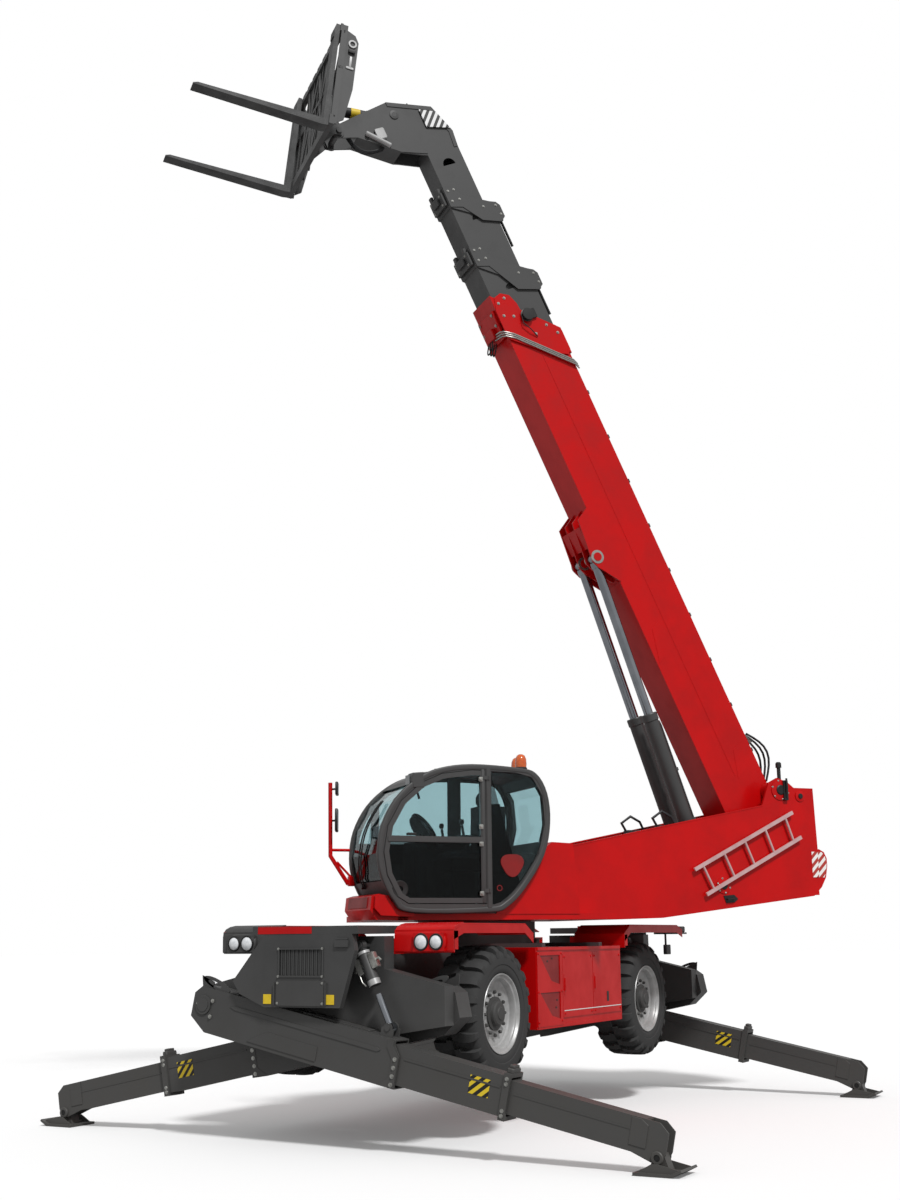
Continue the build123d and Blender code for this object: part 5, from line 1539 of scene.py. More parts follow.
@dataclass
class Cab:
    """Driver's cab: tubular side rings, glass, door, seat, lamps and mirrors."""

    inner: float = 0.27
    outer: float = 1.20
    outline: tuple[Point2, ...] = (
        (0.330, 2.000), (1.150, 2.000), (1.330, 2.110), (1.450, 2.330), (1.490, 2.560), (1.450, 2.830),
        (1.310, 3.090), (1.090, 3.290), (0.850, 3.400), (0.500, 3.450), (0.000, 3.430), (-0.200, 3.380),
        (-0.320, 3.180), (-0.345, 2.880), (-0.270, 2.560), (-0.060, 2.240), (0.130, 2.060),
    )

    def curve(self, grow: float, steps: int = 4) -> list[Point2]:
        """The side outline, rounded through its points.

        Args:
            grow: Distance outward from the outline, in metres.
            steps: Points on each span.

        Returns:
            Points of (U, Z).
        """
        centre = Vector((0.56, 2.72))
        ring = []
        for u, z in self.outline:
            away = Vector((u, z)) - centre
            ring.append(centre + away * ((away.length + grow) / away.length))
        out: list[Point2] = []
        count = len(ring)
        for i in range(count):
            a, b, c, d = (ring[(i + k) % count] for k in (-1, 0, 1, 2))
            for k in range(steps):
                t = k / steps
                p = 0.5 * (
                    (2 * b) + (c - a) * t + (
                        2 * a - 5 * b + 4 * c - d
                    ) * t * t + (3 * b - a - 3 * c + d) * t**3
                )
                out.append((p.x, p.y))
        return out

    def ring_tube(
        self, shape: Shape, grow: float, low: float, high: float, depth: float, round_by: float,
    ) -> None:
        """Adds a closed rounded frame that follows the side outline.

        Args:
            shape: Shape that gets it.
            grow: Outer edge's distance from the outline.
            low: Lowest V.
            high: Highest V.
            depth: Frame's width, square to the outline.
            round_by: Radius of its edges.
        """
        section = []
        for gx, gy, a0 in (
            (grow - round_by, high - round_by, 0), (grow - depth + round_by, high - round_by, 90),
            (grow - depth + round_by, low + round_by, 180), (grow - round_by, low + round_by, 270),
        ):
            for k in range(4):
                a = math.radians(a0 + 30 * k)
                section.append((gx + round_by * math.cos(a), gy + round_by * math.sin(a)))
        columns = [self.curve(g) for g, _ in section]
        rings = []
        for i in range(len(columns[0])):
            rings.append(
                [Vector((columns[k][i][0], v, columns[k][i][1])) for k, (_, v) in enumerate(section)]
            )
        shape.loft(rings, closed=True)

    def build(self, dresser: Dresser) -> None:
        """Coats the cab's nodes and adds all its pieces."""
        dresser.coat("cab_frame", Finish.CHARCOAL, "charcoal_paint")
        dresser.coat("cab_interior", Finish.PLASTIC, "interior_plastic")
        dresser.coat("door_frame", Finish.CHARCOAL, "charcoal_paint")
        for node in ("cab_glass", "door_glass"):
            dresser.coat_where(
                node, [Finish.GLASS, Finish.SMOKED], lambda c, n: 1 if c.z < 2.62 else 0,
            )
        self.rings(dresser)
        self.nose(dresser)
        self.mirrors(dresser)
        self.roof(dresser)
        self.inside(dresser)

    def rings(self, dresser: Dresser) -> None:
        """Adds the side rings, glass seals, the door's bars and fittings, and the wall frames."""
        work = Shape(SLEWED)
        self.ring_tube(work, 0.002, self.outer - 0.05, self.outer + 0.006, 0.058, 0.014)
        self.ring_tube(work, 0.002, self.inner - 0.004, self.inner + 0.05, 0.075, 0.014)
        work.box((0.298, 0.362), (self.outer - 0.05, self.outer + 0.008), (2.03, 3.43), 0.014)
        dresser.put(work, "cab_side_rings", Finish.CHARCOAL, "turret", 40)
        seals = Shape(SLEWED)
        self.ring_tube(seals, -0.056, self.outer - 0.03, self.outer - 0.006, 0.02, 0.006)
        self.ring_tube(seals, -0.070, self.inner + 0.004, self.inner + 0.03, 0.02, 0.006)
        dresser.put(seals, "cab_glass_seals", Finish.SEAL, "turret", 40)
        door = Shape(SLEWED)
        door.box((0.372, 1.395), (self.outer - 0.012, self.outer + 0.014), (2.673, 2.727), 0.006)
        door.box((0.372, 0.41), (self.outer - 0.006, self.outer + 0.012), (2.09, 3.40), 0.006)
        dresser.put(door, "door_bars", Finish.CHARCOAL, "door")
        hinges = Shape(SLEWED)
        for z in (3.30, 2.83, 2.66, 2.18):
            hinges.box((0.395, 0.44), (self.outer + 0.006, self.outer + 0.020), (z - 0.022, z + 0.022), 0.004)
            hinges.rod((0.42, self.outer + 0.019, z), (0.42, self.outer + 0.032, z), 0.014, 16, 0.003)
        dresser.put(hinges, "door_hinge_leaves", Finish.ZINC, "door")
        handle = Shape(SLEWED)
        handle.turned(
            [(0.030, 0.0), (0.075, 0.0), (0.085, 0.008), (0.075, 0.018), (0.030, 0.012)], "Y", 32,
            (1.265, self.outer - 0.012, 2.22),
        )
        handle.box((1.10, 1.20), (self.outer - 0.01, self.outer + 0.02), (2.735, 2.76), 0.006)
        dresser.put(handle, "door_lock", Finish.BLACK, "door", 35)
        badge = Shape(SLEWED)
        shield = []
        for k in range(28):
            a = 2 * math.pi * k / 28
            reach = 0.122 + 0.013 * math.cos(3 * a)
            shield.append((0.075 + reach * math.sin(a), 2.465 - reach * 0.92 * math.cos(a)))
        badge.prism(shield, "Y", self.outer - 0.020, self.outer - 0.012, 0.003)
        ring = [(0.022, 0.0), (0.03, 0.0), (0.03, 0.006), (0.022, 0.006)]
        badge.turned(ring, "Y", 28, (0.215, self.outer - 0.024, 2.235))
        dresser.put(badge, "blank_side_plate", Finish.DARK_RED_AND_SHADE, "turret", 40)
        wall = Shape(SLEWED)
        wall.box((-0.235, 1.415), (self.inner + 0.048, self.inner + 0.058), (2.50, 2.705), 0.004)
        wall.box((0.28, 0.43), (self.inner + 0.048, self.inner + 0.062), (2.70, 3.40), 0.006)
        wall.box((-0.235, -0.12), (self.inner + 0.048, self.inner + 0.060), (2.70, 3.12), 0.01)
        wall.box((1.18, 1.27), (self.inner + 0.048, self.inner + 0.060), (2.70, 3.12), 0.01)
        dresser.put(wall, "far_wall_frames", Finish.PLASTIC, "turret")
        lower = Shape(SLEWED)
        inner = self.curve(-0.064, 2)
        kept = [(u, z) for u, z in inner if u < 0.30 and z < 2.72]
        kept = sorted(kept, key=lambda p: p[1])
        outline = [(0.296, kept[0][1]), *kept, (0.296, kept[-1][1])]
        lower.prism(outline, "Y", self.outer - 0.034, self.outer - 0.028)
        dresser.put(lower, "quarter_panel", Finish.BLACK, "turret", slot="interior_plastic")

    def nose(self, dresser: Dresser) -> None:
        """Adds the red shell under the windscreen, its blank plate, and the wipers."""
        shell = Shape(SLEWED)
        outline = [
            (1.15, 1.925), (1.47, 1.935), (1.535, 2.03), (1.52, 2.16), (1.45, 2.18), (1.42, 2.178),
            (1.30, 1.99), (1.15, 1.97),
        ]
        shell.prism(outline, "Y", self.inner + 0.02, self.outer - 0.10)
        dresser.put(shell, "nose_shell", Finish.RED, "turret", 40)
        work = Shape(SLEWED)
        work.prism(
            [(1.5338, 2.045), (1.5415, 2.05), (1.530, 2.15), (1.5217, 2.15)], "Y", self.inner + 0.14,
            self.outer - 0.20, 0.003,
        )
        dresser.put(work, "nose_plate", Finish.DARK_RED_AND_SHADE, "turret", 40)
        wiper = Shape(SLEWED)
        screen = self.curve(0.012, 4)
        front = sorted([p for p in screen if p[0] > 1.1 and 2.25 < p[1] < 3.15], key=lambda p: p[1])
        for v0, v1 in ((0.55, 0.80), (0.62, 0.86)):
            path = [(u, v0 + (v1 - v0) * i / (len(front) - 1), z) for i, (u, z) in enumerate(front)]
            wiper.tube(path, 0.008, 8)
        wiper.rod(
            (front[0][0] - 0.03, 0.58, front[0][1]), (front[0][0] + 0.02, 0.58, front[0][1]), 0.028, 20,
            0.004,
        )
        dresser.put(wiper, "windscreen_wiper", Finish.BLACK, "turret", 35, slot="interior_plastic")

    def mirrors(self, dresser: Dresser) -> None:
        """Adds the red mirror mast with its braces and mirrors."""
        v = self.inner + 0.02
        arm = Shape(SLEWED)
        arm.tube([(1.70, v, 3.32), (1.69, v, 2.58), (1.50, v, 2.30)], 0.021, 16)
        arm.tube([(1.69, v, 2.64), (1.49, v, 2.64)], 0.015, 12)
        arm.tube([(1.62, v, 2.52), (1.46, v, 2.36)], 0.012, 12)
        arm.box((1.44, 1.50), (v - 0.03, v + 0.03), (2.28, 2.38), 0.006)
        dresser.put(arm, "mirror_mast", Finish.RED, "turret", 35)
        turned = SLEWED @ shift(1.625, v, 0) @ turn("Z", -20)
        back, glass = Shape(turned), Shape(turned)
        for z, h in ((3.255, 0.065), (2.935, 0.115)):
            path = [
                (-0.02, z - h), (0.14, z - h), (0.16, z - h + 0.03), (0.16, z + h - 0.03), (0.14, z + h),
                (-0.02, z + h),
            ]
            back.prism(path, "X", -0.014, 0.014, 0.006)
            back.tube([(0.066, -0.005, z), (0.01, 0.04, z)], 0.010, 10)
            glass.box((-0.0175, -0.0145), (-0.01, 0.15), (z - h + 0.012, z + h - 0.012), 0.001)
        dresser.put(back, "mirror_backs", Finish.BLACK, "turret", 35, slot="interior_plastic")
        dresser.put(glass, "mirror_faces", Finish.MIRROR, "turret", None)

    def roof(self, dresser: Dresser) -> None:
        """Adds the beacons, the work lamp and the roof ribs."""
        caps, domes = Shape(SLEWED), Shape(SLEWED)
        for u, v in ((-0.22, 0.78), (-0.30, 0.50)):
            base = 3.455
            caps.turned(
                [(0.0, 0.0), (0.066, 0.0), (0.066, 0.024), (0.058, 0.034), (0.0, 0.034)], "Z", 28,
                (u, v, base),
            )
            caps.tube([(u + 0.16, v, 3.39), (u + 0.04, v, 3.425), (u, v, 3.46)], 0.02, 16)
            dome = [
                (0.0, 0.034), (0.058, 0.034), (0.061, 0.07), (0.057, 0.12), (0.043, 0.155), (0.02, 0.17),
                (0.0, 0.172),
            ]
            domes.turned(dome, "Z", 28, (u, v, base))
        dresser.put(caps, "beacon_feet", Finish.BLACK, "turret")
        dresser.put(domes, "beacon_domes", Finish.AMBER, "turret", 50)
        lamp = Shape(SLEWED)
        lamp.prism(
            [(1.01, 3.20), (1.13, 3.19), (1.16, 3.27), (1.13, 3.345), (1.02, 3.355)], "Y", self.outer - 0.15,
            self.outer + 0.01, 0.015,
        )
        lamp.tube([(1.07, self.outer - 0.09, 3.21), (1.03, self.outer - 0.10, 3.10)], 0.012, 10)
        dresser.put(lamp, "work_lamp", Finish.CHARCOAL, "turret", 35)
        lens = Shape(SLEWED)
        lens.box((1.158, 1.166), (self.outer - 0.13, self.outer - 0.01), (3.235, 3.325), 0.003)
        dresser.put(lens, "work_lamp_lens", Finish.LENS_DARK, "turret")
        ribs = Shape(SLEWED)
        for v in (0.42, 0.735, 1.05):
            ribs.tube([(0.85, v, 3.40), (0.5, v, 3.452), (0.0, v, 3.432), (-0.18, v, 3.385)], 0.008, 8)
        dresser.put(ribs, "roof_ribs", Finish.CHARCOAL, "turret")

    def cushion(self, spans: tuple[Point2, Point2, Point2], name: str, fullness: float) -> bpy.types.Object:
        """Makes a crowned cushion with a piped seam and two sewn channels.

        Args:
            spans: Spans in U, V and Z.
            name: Object's name.
            fullness: How far its faces swell.

        Returns:
            The cushion.
        """
        work = bmesh.new()
        bmesh.ops.create_cube(work, size=1.0)
        bmesh.ops.subdivide_edges(work, edges=work.edges[:], cuts=9, use_grid_fill=True)
        (u0, u1), (v0, v1), (z0, z1) = spans
        for vert in work.verts:
            p = vert.co * 2
            pull = 1 - 0.10 * (abs(p.x * p.y) ** 3 + abs(p.y * p.z) ** 3 + abs(p.x * p.z) ** 3)
            swell = Vector(
                (
                    p.x * (1 + fullness * (1 - p.y**2) * (1 - p.z**2) * 0.4),
                    p.y * (1 + fullness * (1 - p.x**2) * (1 - p.z**2) * 0.4),
                    p.z * (1 + fullness * (1 - p.x**2) * (1 - p.y**2)),
                )
            )
            groove = 1 - 0.05 * math.exp(-(((abs(p.y) - 0.55) / 0.06) ** 2))
            q = swell * pull * groove / 2
            vert.co = SLEWED @ Vector(
                (
                    (u0 + u1) / 2 + q.x * (u1 - u0) * 0.92, (v0 + v1) / 2 + q.y * (v1 - v0) * 0.94,
                    (z0 + z1) / 2 + q.z * (z1 - z0) * 0.9,
                )
            )
        bmesh.ops.recalc_face_normals(work, faces=work.faces)
        for face in work.faces:
            face.smooth = True
        data = bpy.data.meshes.new(name)
        work.to_mesh(data)
        work.free()
        made = bpy.data.objects.new(name, data)
        bpy.context.scene.collection.objects.link(made)
        data.materials.append(Finish.TEXTILE.material())
        smooth = made.modifiers.new("smooth", "SUBSURF")
        smooth.levels = smooth.render_levels = 1
        return made

    def inside(self, dresser: Dresser) -> None:
        """Adds the seat's cushions, steering wheel, armrests and floor mat."""
        pads = (
            ("seat_cushion", ((0.20, 0.66), (0.49, 0.97), (2.50, 2.62)), 0.22, 0.6),
            ("seat_back", ((0.13, 0.27), (0.50, 0.96), (2.58, 3.06)), 0.25, 0.6),
            ("seat_headrest", ((0.14, 0.24), (0.60, 0.86), (3.07, 3.22)), 0.25, 0.7),
        )
        for name, spans, fullness, fill in pads:
            made = self.cushion(spans, name, fullness)
            dresser.place(made, "turret", "interior_plastic")
        work = Shape(SLEWED)
        for v in (0.44, 1.00):
            work.box((0.22, 0.60), (v - 0.035, v + 0.035), (2.70, 2.76), 0.02)
            work.rod((0.52, v, 2.75), (0.54, v, 2.86), 0.014, 14, 0.004)
            work.turned(
                [(0.0, 0.0), (0.02, 0.006), (0.026, 0.03), (0.02, 0.055), (0.0, 0.06)], "Z", 16,
                (0.542, v, 2.86),
            )
            work.box((0.24, 0.30), (v - 0.02, v + 0.02), (2.45, 2.72), 0.01)
        ring = []
        tilt = turn("Y", -55)
        middle = Vector((0.86, 0.73, 2.80))
        for k in range(40):
            a = 2 * math.pi * k / 40
            centre = middle + (tilt @ Vector((0.19 * math.cos(a), 0.19 * math.sin(a), 0.03)))
            out = (tilt @ Vector((math.cos(a), math.sin(a), 0))).normalized()
            up = (tilt @ Vector((0, 0, 1))).normalized()
            ring.append(
                [
                    centre + out * 0.016 * math.cos(b) + up * 0.016 * math.sin(b)
                    for b in (math.pi * j / 4 for j in range(8))
                ]
            )
        work.loft(ring, closed=True)
        work.box((0.45, 1.15), (self.inner + 0.08, self.outer - 0.08), (2.052, 2.062), 0.004)
        dresser.put(work, "cab_controls", Finish.PLASTIC, "turret", 40)


@dataclass
class Boom:
    """Telescopic boom: the red base, three dark sections and the bent head."""

    half_base: float = 0.235

    def build(self, dresser: Dresser) -> None:
        """Coats the boom's nodes and dresses each section."""
        dresser.coat("boom_base", Finish.RED, "red_paint")
        for number in (2, 3, 4):
            dresser.coat(f"boom_section_{number}", Finish.CHARCOAL, "charcoal_paint")
        self.base(dresser)
        self.collar(dresser)
        self.section(dresser, 2, 0.205, -0.622, 0.005, 7.25, 0.48)
        self.section(dresser, 3, 0.175, -0.594, -0.062, 8.03, 0.33)
        self.head(dresser)

    def base(self, dresser: Dresser) -> None:
        """Adds the folded seams, pipes, foot hoses and lift eye rings of the base."""
        work = Shape(BOOM)
        for y, out in ((-self.half_base, -1), (self.half_base, 1)):
            work.prism(
                [(0.35, -0.315), (6.05, -0.315), (6.05, -0.327), (0.35, -0.327)], "Y",
                *sorted((y, y + out * 0.003)),
            )
            for s0, s1, t0, t1 in ((0.30, 0.62, -0.30, -0.16), (1.9, 2.3, -0.62, -0.50)):
                work.prism(
                    [(s0, t0), (s1, t0 + 0.1), (s1 + 0.05, t1 + 0.1), (s0 + 0.05, t1)], "Y",
                    *sorted((y, y + out * 0.003)),
                )
        for s in (2.95, 3.85):
            work.box((s, s + 0.03), (-0.20, 0.20), (-0.665, -0.65), 0.004)
        work.box((3.45, 3.72), (-0.225, 0.225), (-0.84, -0.82), 0.005)
        dresser.put(work, "base_seams", Finish.RED, "boom")
        run = Shape(BOOM)
        for y in (0.13, 0.16, 0.19):
            run.tube([(0.62, y, 0.050), (5.79, y, 0.050)], 0.010, 8)
        dresser.put(run, "boom_back_pipes", Finish.BLACK, "boom", 35)
        clip = Shape().box(
            (0.50, 0.55), (0.11, 0.215), (0.030, 0.068), 0.006,
        ).object("boom_pipe_clips", Finish.CASTING)
        clips = dresser.repeater.run(clip, Finish.CASTING, 10, step=(0.58, 0, 0), place=BOOM)
        dresser.place(clips, "boom", "charcoal_paint")
        loops = Shape(BOOM)
        for k, y in enumerate((0.10, 0.15, 0.19)):
            path = []
            for i in range(9):
                f = i / 8
                path.append(
                    (
                        0.72 - 0.60 * f, y + 0.02 * k,
                        0.06 + (0.13 + 0.02 * k) * math.sin(math.pi * f) - 0.02 * f,
                    )
                )
            loops.tube(path, 0.013, 10)
        dresser.put(loops, "boom_foot_hoses", Finish.HOSE, "boom", 40)
        ends = Shape(BOOM)
        for y in (0.10, 0.15, 0.19):
            ends.rod((0.70, y, 0.055), (0.60, y, 0.10), 0.017, 6)
        dresser.put(ends, "hose_end_fittings", Finish.ZINC, "boom")
        lug = Shape(BOOM)
        for side in (-1, 1):
            for y in (side * 0.17 - 0.086 - 0.006, side * 0.17 + 0.086 - 0.004):
                ring = [(0.045, y - 0.004), (0.080, y - 0.004), (0.080, y + 0.010), (0.045, y + 0.010)]
                lug.turned(ring, "Y", 32, (LIFT_EYE_S, 0, LIFT_EYE_T))
        dresser.put(lug, "lift_eye_rings", Finish.ZINC, "boom")

    def collar(self, dresser: Dresser) -> None:
        """Adds the base's waved collar plates, pipes, cable reel, hoses and bolts."""
        shape = Shape(BOOM)
        wave = [
            (6.07, -0.672), (6.42, -0.672), (6.58, -0.62), (6.61, -0.52), (6.56, -0.42), (6.44, -0.37),
            (6.33, -0.36), (6.24, -0.27), (6.16, -0.14), (6.04, 0.0), (5.96, 0.050), (5.72, 0.050),
            (5.66, 0.0), (5.74, -0.2), (5.88, -0.42),
        ]
        for y, out in ((-self.half_base - 0.016, -1), (self.half_base + 0.016, 1)):
            shape.prism(wave, "Y", *sorted((y - out * 0.004, y + out * 0.008)), chamfer=0.003)
        shape.box((6.10, 6.45), (-0.21, 0.21), (-0.70, -0.664), 0.006)
        shape.box((6.16, 6.28), (-0.10, 0.10), (-0.745, -0.70), 0.008)
        dresser.put(shape, "base_collar_plates", Finish.RED, "boom")
        pipes = Shape(BOOM)
        for k in range(3):
            d = 0.028 * k
            v = self.half_base + 0.030
            pipes.tube(
                [
                    (6.20 - d, 0.04, -0.715), (6.18 - d, self.half_base - 0.01, -0.715), (6.16 - d, v, -0.69),
                    (6.10 - d, v, -0.58), (5.58 - d, v, 0.02), (5.52 - d, v - 0.02, 0.06),
                ],
                0.009, 10,
            )
        dresser.put(pipes, "collar_pipes", Finish.ZINC, "boom", 40)
        reel = Shape(BOOM)
        v = self.half_base + 0.024
        reel.turned(
            [
                (0.0, v), (0.035, v), (0.035, v + 0.012), (0.075, v + 0.012), (0.08, v + 0.02),
                (0.04, v + 0.03), (0.04, v + 0.05), (0.075, v + 0.055), (0.07, v + 0.065), (0.0, v + 0.068),
            ],
            "Y", 36, (6.26, 0, -0.32),
        )
        reel.box((6.20, 6.32), (v, v + 0.03), (-0.30, -0.20), 0.006)
        dresser.put(reel, "cable_reel", Finish.BLACK, "boom", 35)
        hose = Shape(BOOM)
        for k in range(3):
            path = []
            for i in range(13):
                a = math.pi * i / 12
                path.append(
                    (
                        6.16 - (0.12 + 0.03 * k) * math.sin(a), -0.10 + 0.05 * k,
                        -0.70 - 0.10 * math.sin(a) - 0.03 * math.cos(a),
                    )
                )
            hose.tube(path, 0.008, 8)
        hose.tube(
            [
                (6.26, v + 0.035, -0.40), (6.18, v + 0.04, -0.42), (6.08, v + 0.04, -0.36),
                (5.98, v + 0.01, -0.30),
            ],
            0.006, 8,
        )
        dresser.put(hose, "collar_hoses", Finish.HOSE, "boom", 40)
        spots = [
            (6.50, -0.60), (6.54, -0.50), (6.34, -0.60), (6.30, -0.48), (6.08, -0.12), (5.95, -0.02),
            (6.02, -0.30),
        ]
        for y, out, name in ((self.half_base + 0.024, 1, "left"), (-self.half_base - 0.024, -1, "right")):
            self.bolts(
                dresser, f"collar_bolts_{name}", [(s, y, t) for s, t in spots], (0, out, 0), "boom", 0.013,
            )
        under = [(s, y, -0.705) for s in (6.14, 6.28, 6.41) for y in (-0.17, 0.17)]
        self.bolts(dresser, "collar_bolts_under", under, (0, 0, -1), "boom", 0.013)

    @staticmethod
    def bolts(
        dresser: Dresser, name: str, spots: Sequence[Point3], facing: Point3, body: str, radius: float,
    ) -> None:
        """Sets bolt heads on the boom, facing a direction of its own frame."""
        world = tuple(BOOM.to_3x3() @ Vector(facing))
        placed = [tuple(BOOM @ Vector(p)) for p in spots]
        dresser.bolt(name, placed, world, body, radius)

    def section(
        self, dresser: Dresser, number: int, half: float, low: float, top: float, end: float, slant: float,
    ) -> None:
        """Adds the waved collar plates, pad blocks, bolts and guide rods of one section.

        Args:
            dresser: Puts the pieces on their body.
            number: Section's number.
            half: Half its width.
            low: Its underside.
            top: Its upper side.
            end: Where its underside ends.
            slant: How much shorter its upper side is.
        """
        body = f"boom_{number}"
        plates = Shape(BOOM)
        height = top - low
        for y, out in ((-half - 0.016, -1), (half + 0.016, 1)):
            wave = [
                (end - 0.24, low - 0.01), (end, low - 0.01), (end - 0.02, low + 0.10),
                (end - 0.10, low + 0.17), (end - 0.26 * slant / 0.4, low + height * 0.46),
                (end - 0.72 * slant, low + height * 0.72), (end - 0.92 * slant, top - 0.02),
                (end - slant, top + 0.055), (end - slant - 0.05, top + 0.09),
                (end - slant - 0.20, top + 0.09), (end - slant - 0.25, top + 0.02),
                (end - slant - 0.17, low + height * 0.6), (end - 0.28, low + 0.14),
            ]
            plates.prism(wave, "Y", *sorted((y, y + out * 0.008)), chamfer=0.002)
        plates.box(
            (end - slant - 0.24, end - slant - 0.06), (-half - 0.01, half + 0.01), (top + 0.016, top + 0.06),
            0.006,
        )
        plates.box((end - 0.20, end - 0.03), (-half + 0.01, half - 0.01), (low - 0.055, low - 0.016), 0.006)
        plates.box((end - 0.14, end - 0.07), (-half * 0.5, half * 0.5), (low - 0.085, low - 0.055), 0.006)
        for y in (-half * 0.62, half * 0.62):
            plates.box((end - 0.10, end + 0.035), (y - 0.03, y + 0.03), (low - 0.05, low - 0.015), 0.006)
        dresser.put(plates, f"collar_plates_{number}", Finish.CHARCOAL, body)
        spots = [
            (end - 0.05, low + 0.04), (end - 0.05, low + 0.12), (end - 0.18, low + 0.04),
            (end - 0.18, low + 0.14), (end - slant - 0.04, top + 0.03), (end - slant - 0.16, top + 0.05),
            (end - 0.8 * slant - 0.08, low + height * 0.75),
        ]
        for y, out, name in ((half + 0.024, 1, "left"), (-half - 0.024, -1, "right")):
            self.bolts(
                dresser, f"bolts_{number}_{name}", [(s, y, t) for s, t in spots], (0, out, 0), body, 0.011,
            )
        under = [(s, y, low - 0.056) for s in (end - 0.17, end - 0.06) for y in (-half * 0.7, half * 0.7)]
        self.bolts(dresser, f"bolts_{number}_under", under, (0, 0, -1), body, 0.011)
        rod = Shape(BOOM)
        start, height = (0.58, 0.038) if number == 3 else (0.80, 0.069)
        for y in (-half * 0.4, half * 0.4):
            rod.tube(
                [(end - slant - start, y, top + height), (end - slant - 0.10, y, top + height)], 0.012, 12,
            )
        rod.tube(
            [(end - slant - 0.56, half * 0.8, top + 0.045), (end - slant - 0.12, half * 0.8, top + 0.045)],
            0.016, 12,
        )
        dresser.put(rod, f"chain_rods_{number}", Finish.BLACK, body)

    def head(self, dresser: Dresser) -> None:
        """Adds the head's signs, edge plates, pin rings, hoses and coupler."""
        half = 0.147
        for y, name in ((half + 0.0105, "left"), (-half - 0.0105, "right")):
            corners = [(8.735, y, -0.135), (8.97, y, -0.230), (9.045, y, -0.43), (8.817, y, -0.43)]
            if name == "left":
                corners = corners[::-1]
            dresser.place(
                sheet_sign(f"head_sign_{name}", corners, BOOM, Finish.HATCH_WHITE, 0.010), "boom_4",
                "charcoal_paint",
            )
        work = Shape(BOOM)
        for y, out in ((-half, -1), (half, 1)):
            edge = [
                (8.50, -0.135), (8.70, -0.112), (9.05, -0.252), (9.232, -0.80), (9.18, -0.80), (9.01, -0.29),
                (8.70, -0.165), (8.50, -0.185),
            ]
            work.prism(edge, "Y", *sorted((y, y + out * 0.008)), chamfer=0.002)
            low = [(8.50, -0.56), (8.60, -0.882), (8.83, -1.227), (8.87, -1.20), (8.66, -0.86), (8.55, -0.56)]
            work.prism(low, "Y", *sorted((y, y + out * 0.008)), chamfer=0.002)
            rings = [(0.035, y), (0.075, y), (0.075, y + out * 0.013), (0.035, y + out * 0.014)]
            work.turned(rings, "Y", 32, (TILT_PIN_S, 0, TILT_PIN_T))
            rings = [(0.029, y), (0.055, y), (0.055, y + out * 0.010), (0.029, y + out * 0.012)]
            work.turned(rings, "Y", 32, (9.06, 0, -0.76))
        work.box((9.10, 9.155), (-0.03, 0.03), (-0.50, -0.44), 0.01)
        work.tube(
            [(9.12, 0.02, -0.47), (9.19, 0.05, -0.48), (9.20, -0.03, -0.44), (9.12, -0.03, -0.46)], 0.010, 10,
        )
        dresser.put(work, "head_edge_plates", Finish.CHARCOAL, "boom_4")
        hoses = Shape(BOOM)
        for k in range(3):
            path = []
            for i in range(11):
                f = i / 10
                path.append(
                    (8.72 + 0.24 * f, 0.05 + 0.03 * k, -1.0 - 0.42 * f - 0.10 * math.sin(math.pi * f))
                )
            path = [(s - 0.10 * math.sin(math.pi * i / 10), y, t) for i, (s, y, t) in enumerate(path)]
            hoses.tube(path, 0.010, 8)
        dresser.put(hoses, "head_hoses", Finish.HOSE, "boom_4", 40)
        plug = Shape(BOOM)
        plug.box((8.80, 8.94), (half + 0.002, half + 0.03), (-1.10, -0.98), 0.01)
        plug.tube([(8.70, half + 0.014, -0.98), (8.92, half + 0.02, -1.22)], 0.03, 20, 0.008)
        dresser.put(plug, "head_coupler", Finish.SILVER, "boom_4", 35)


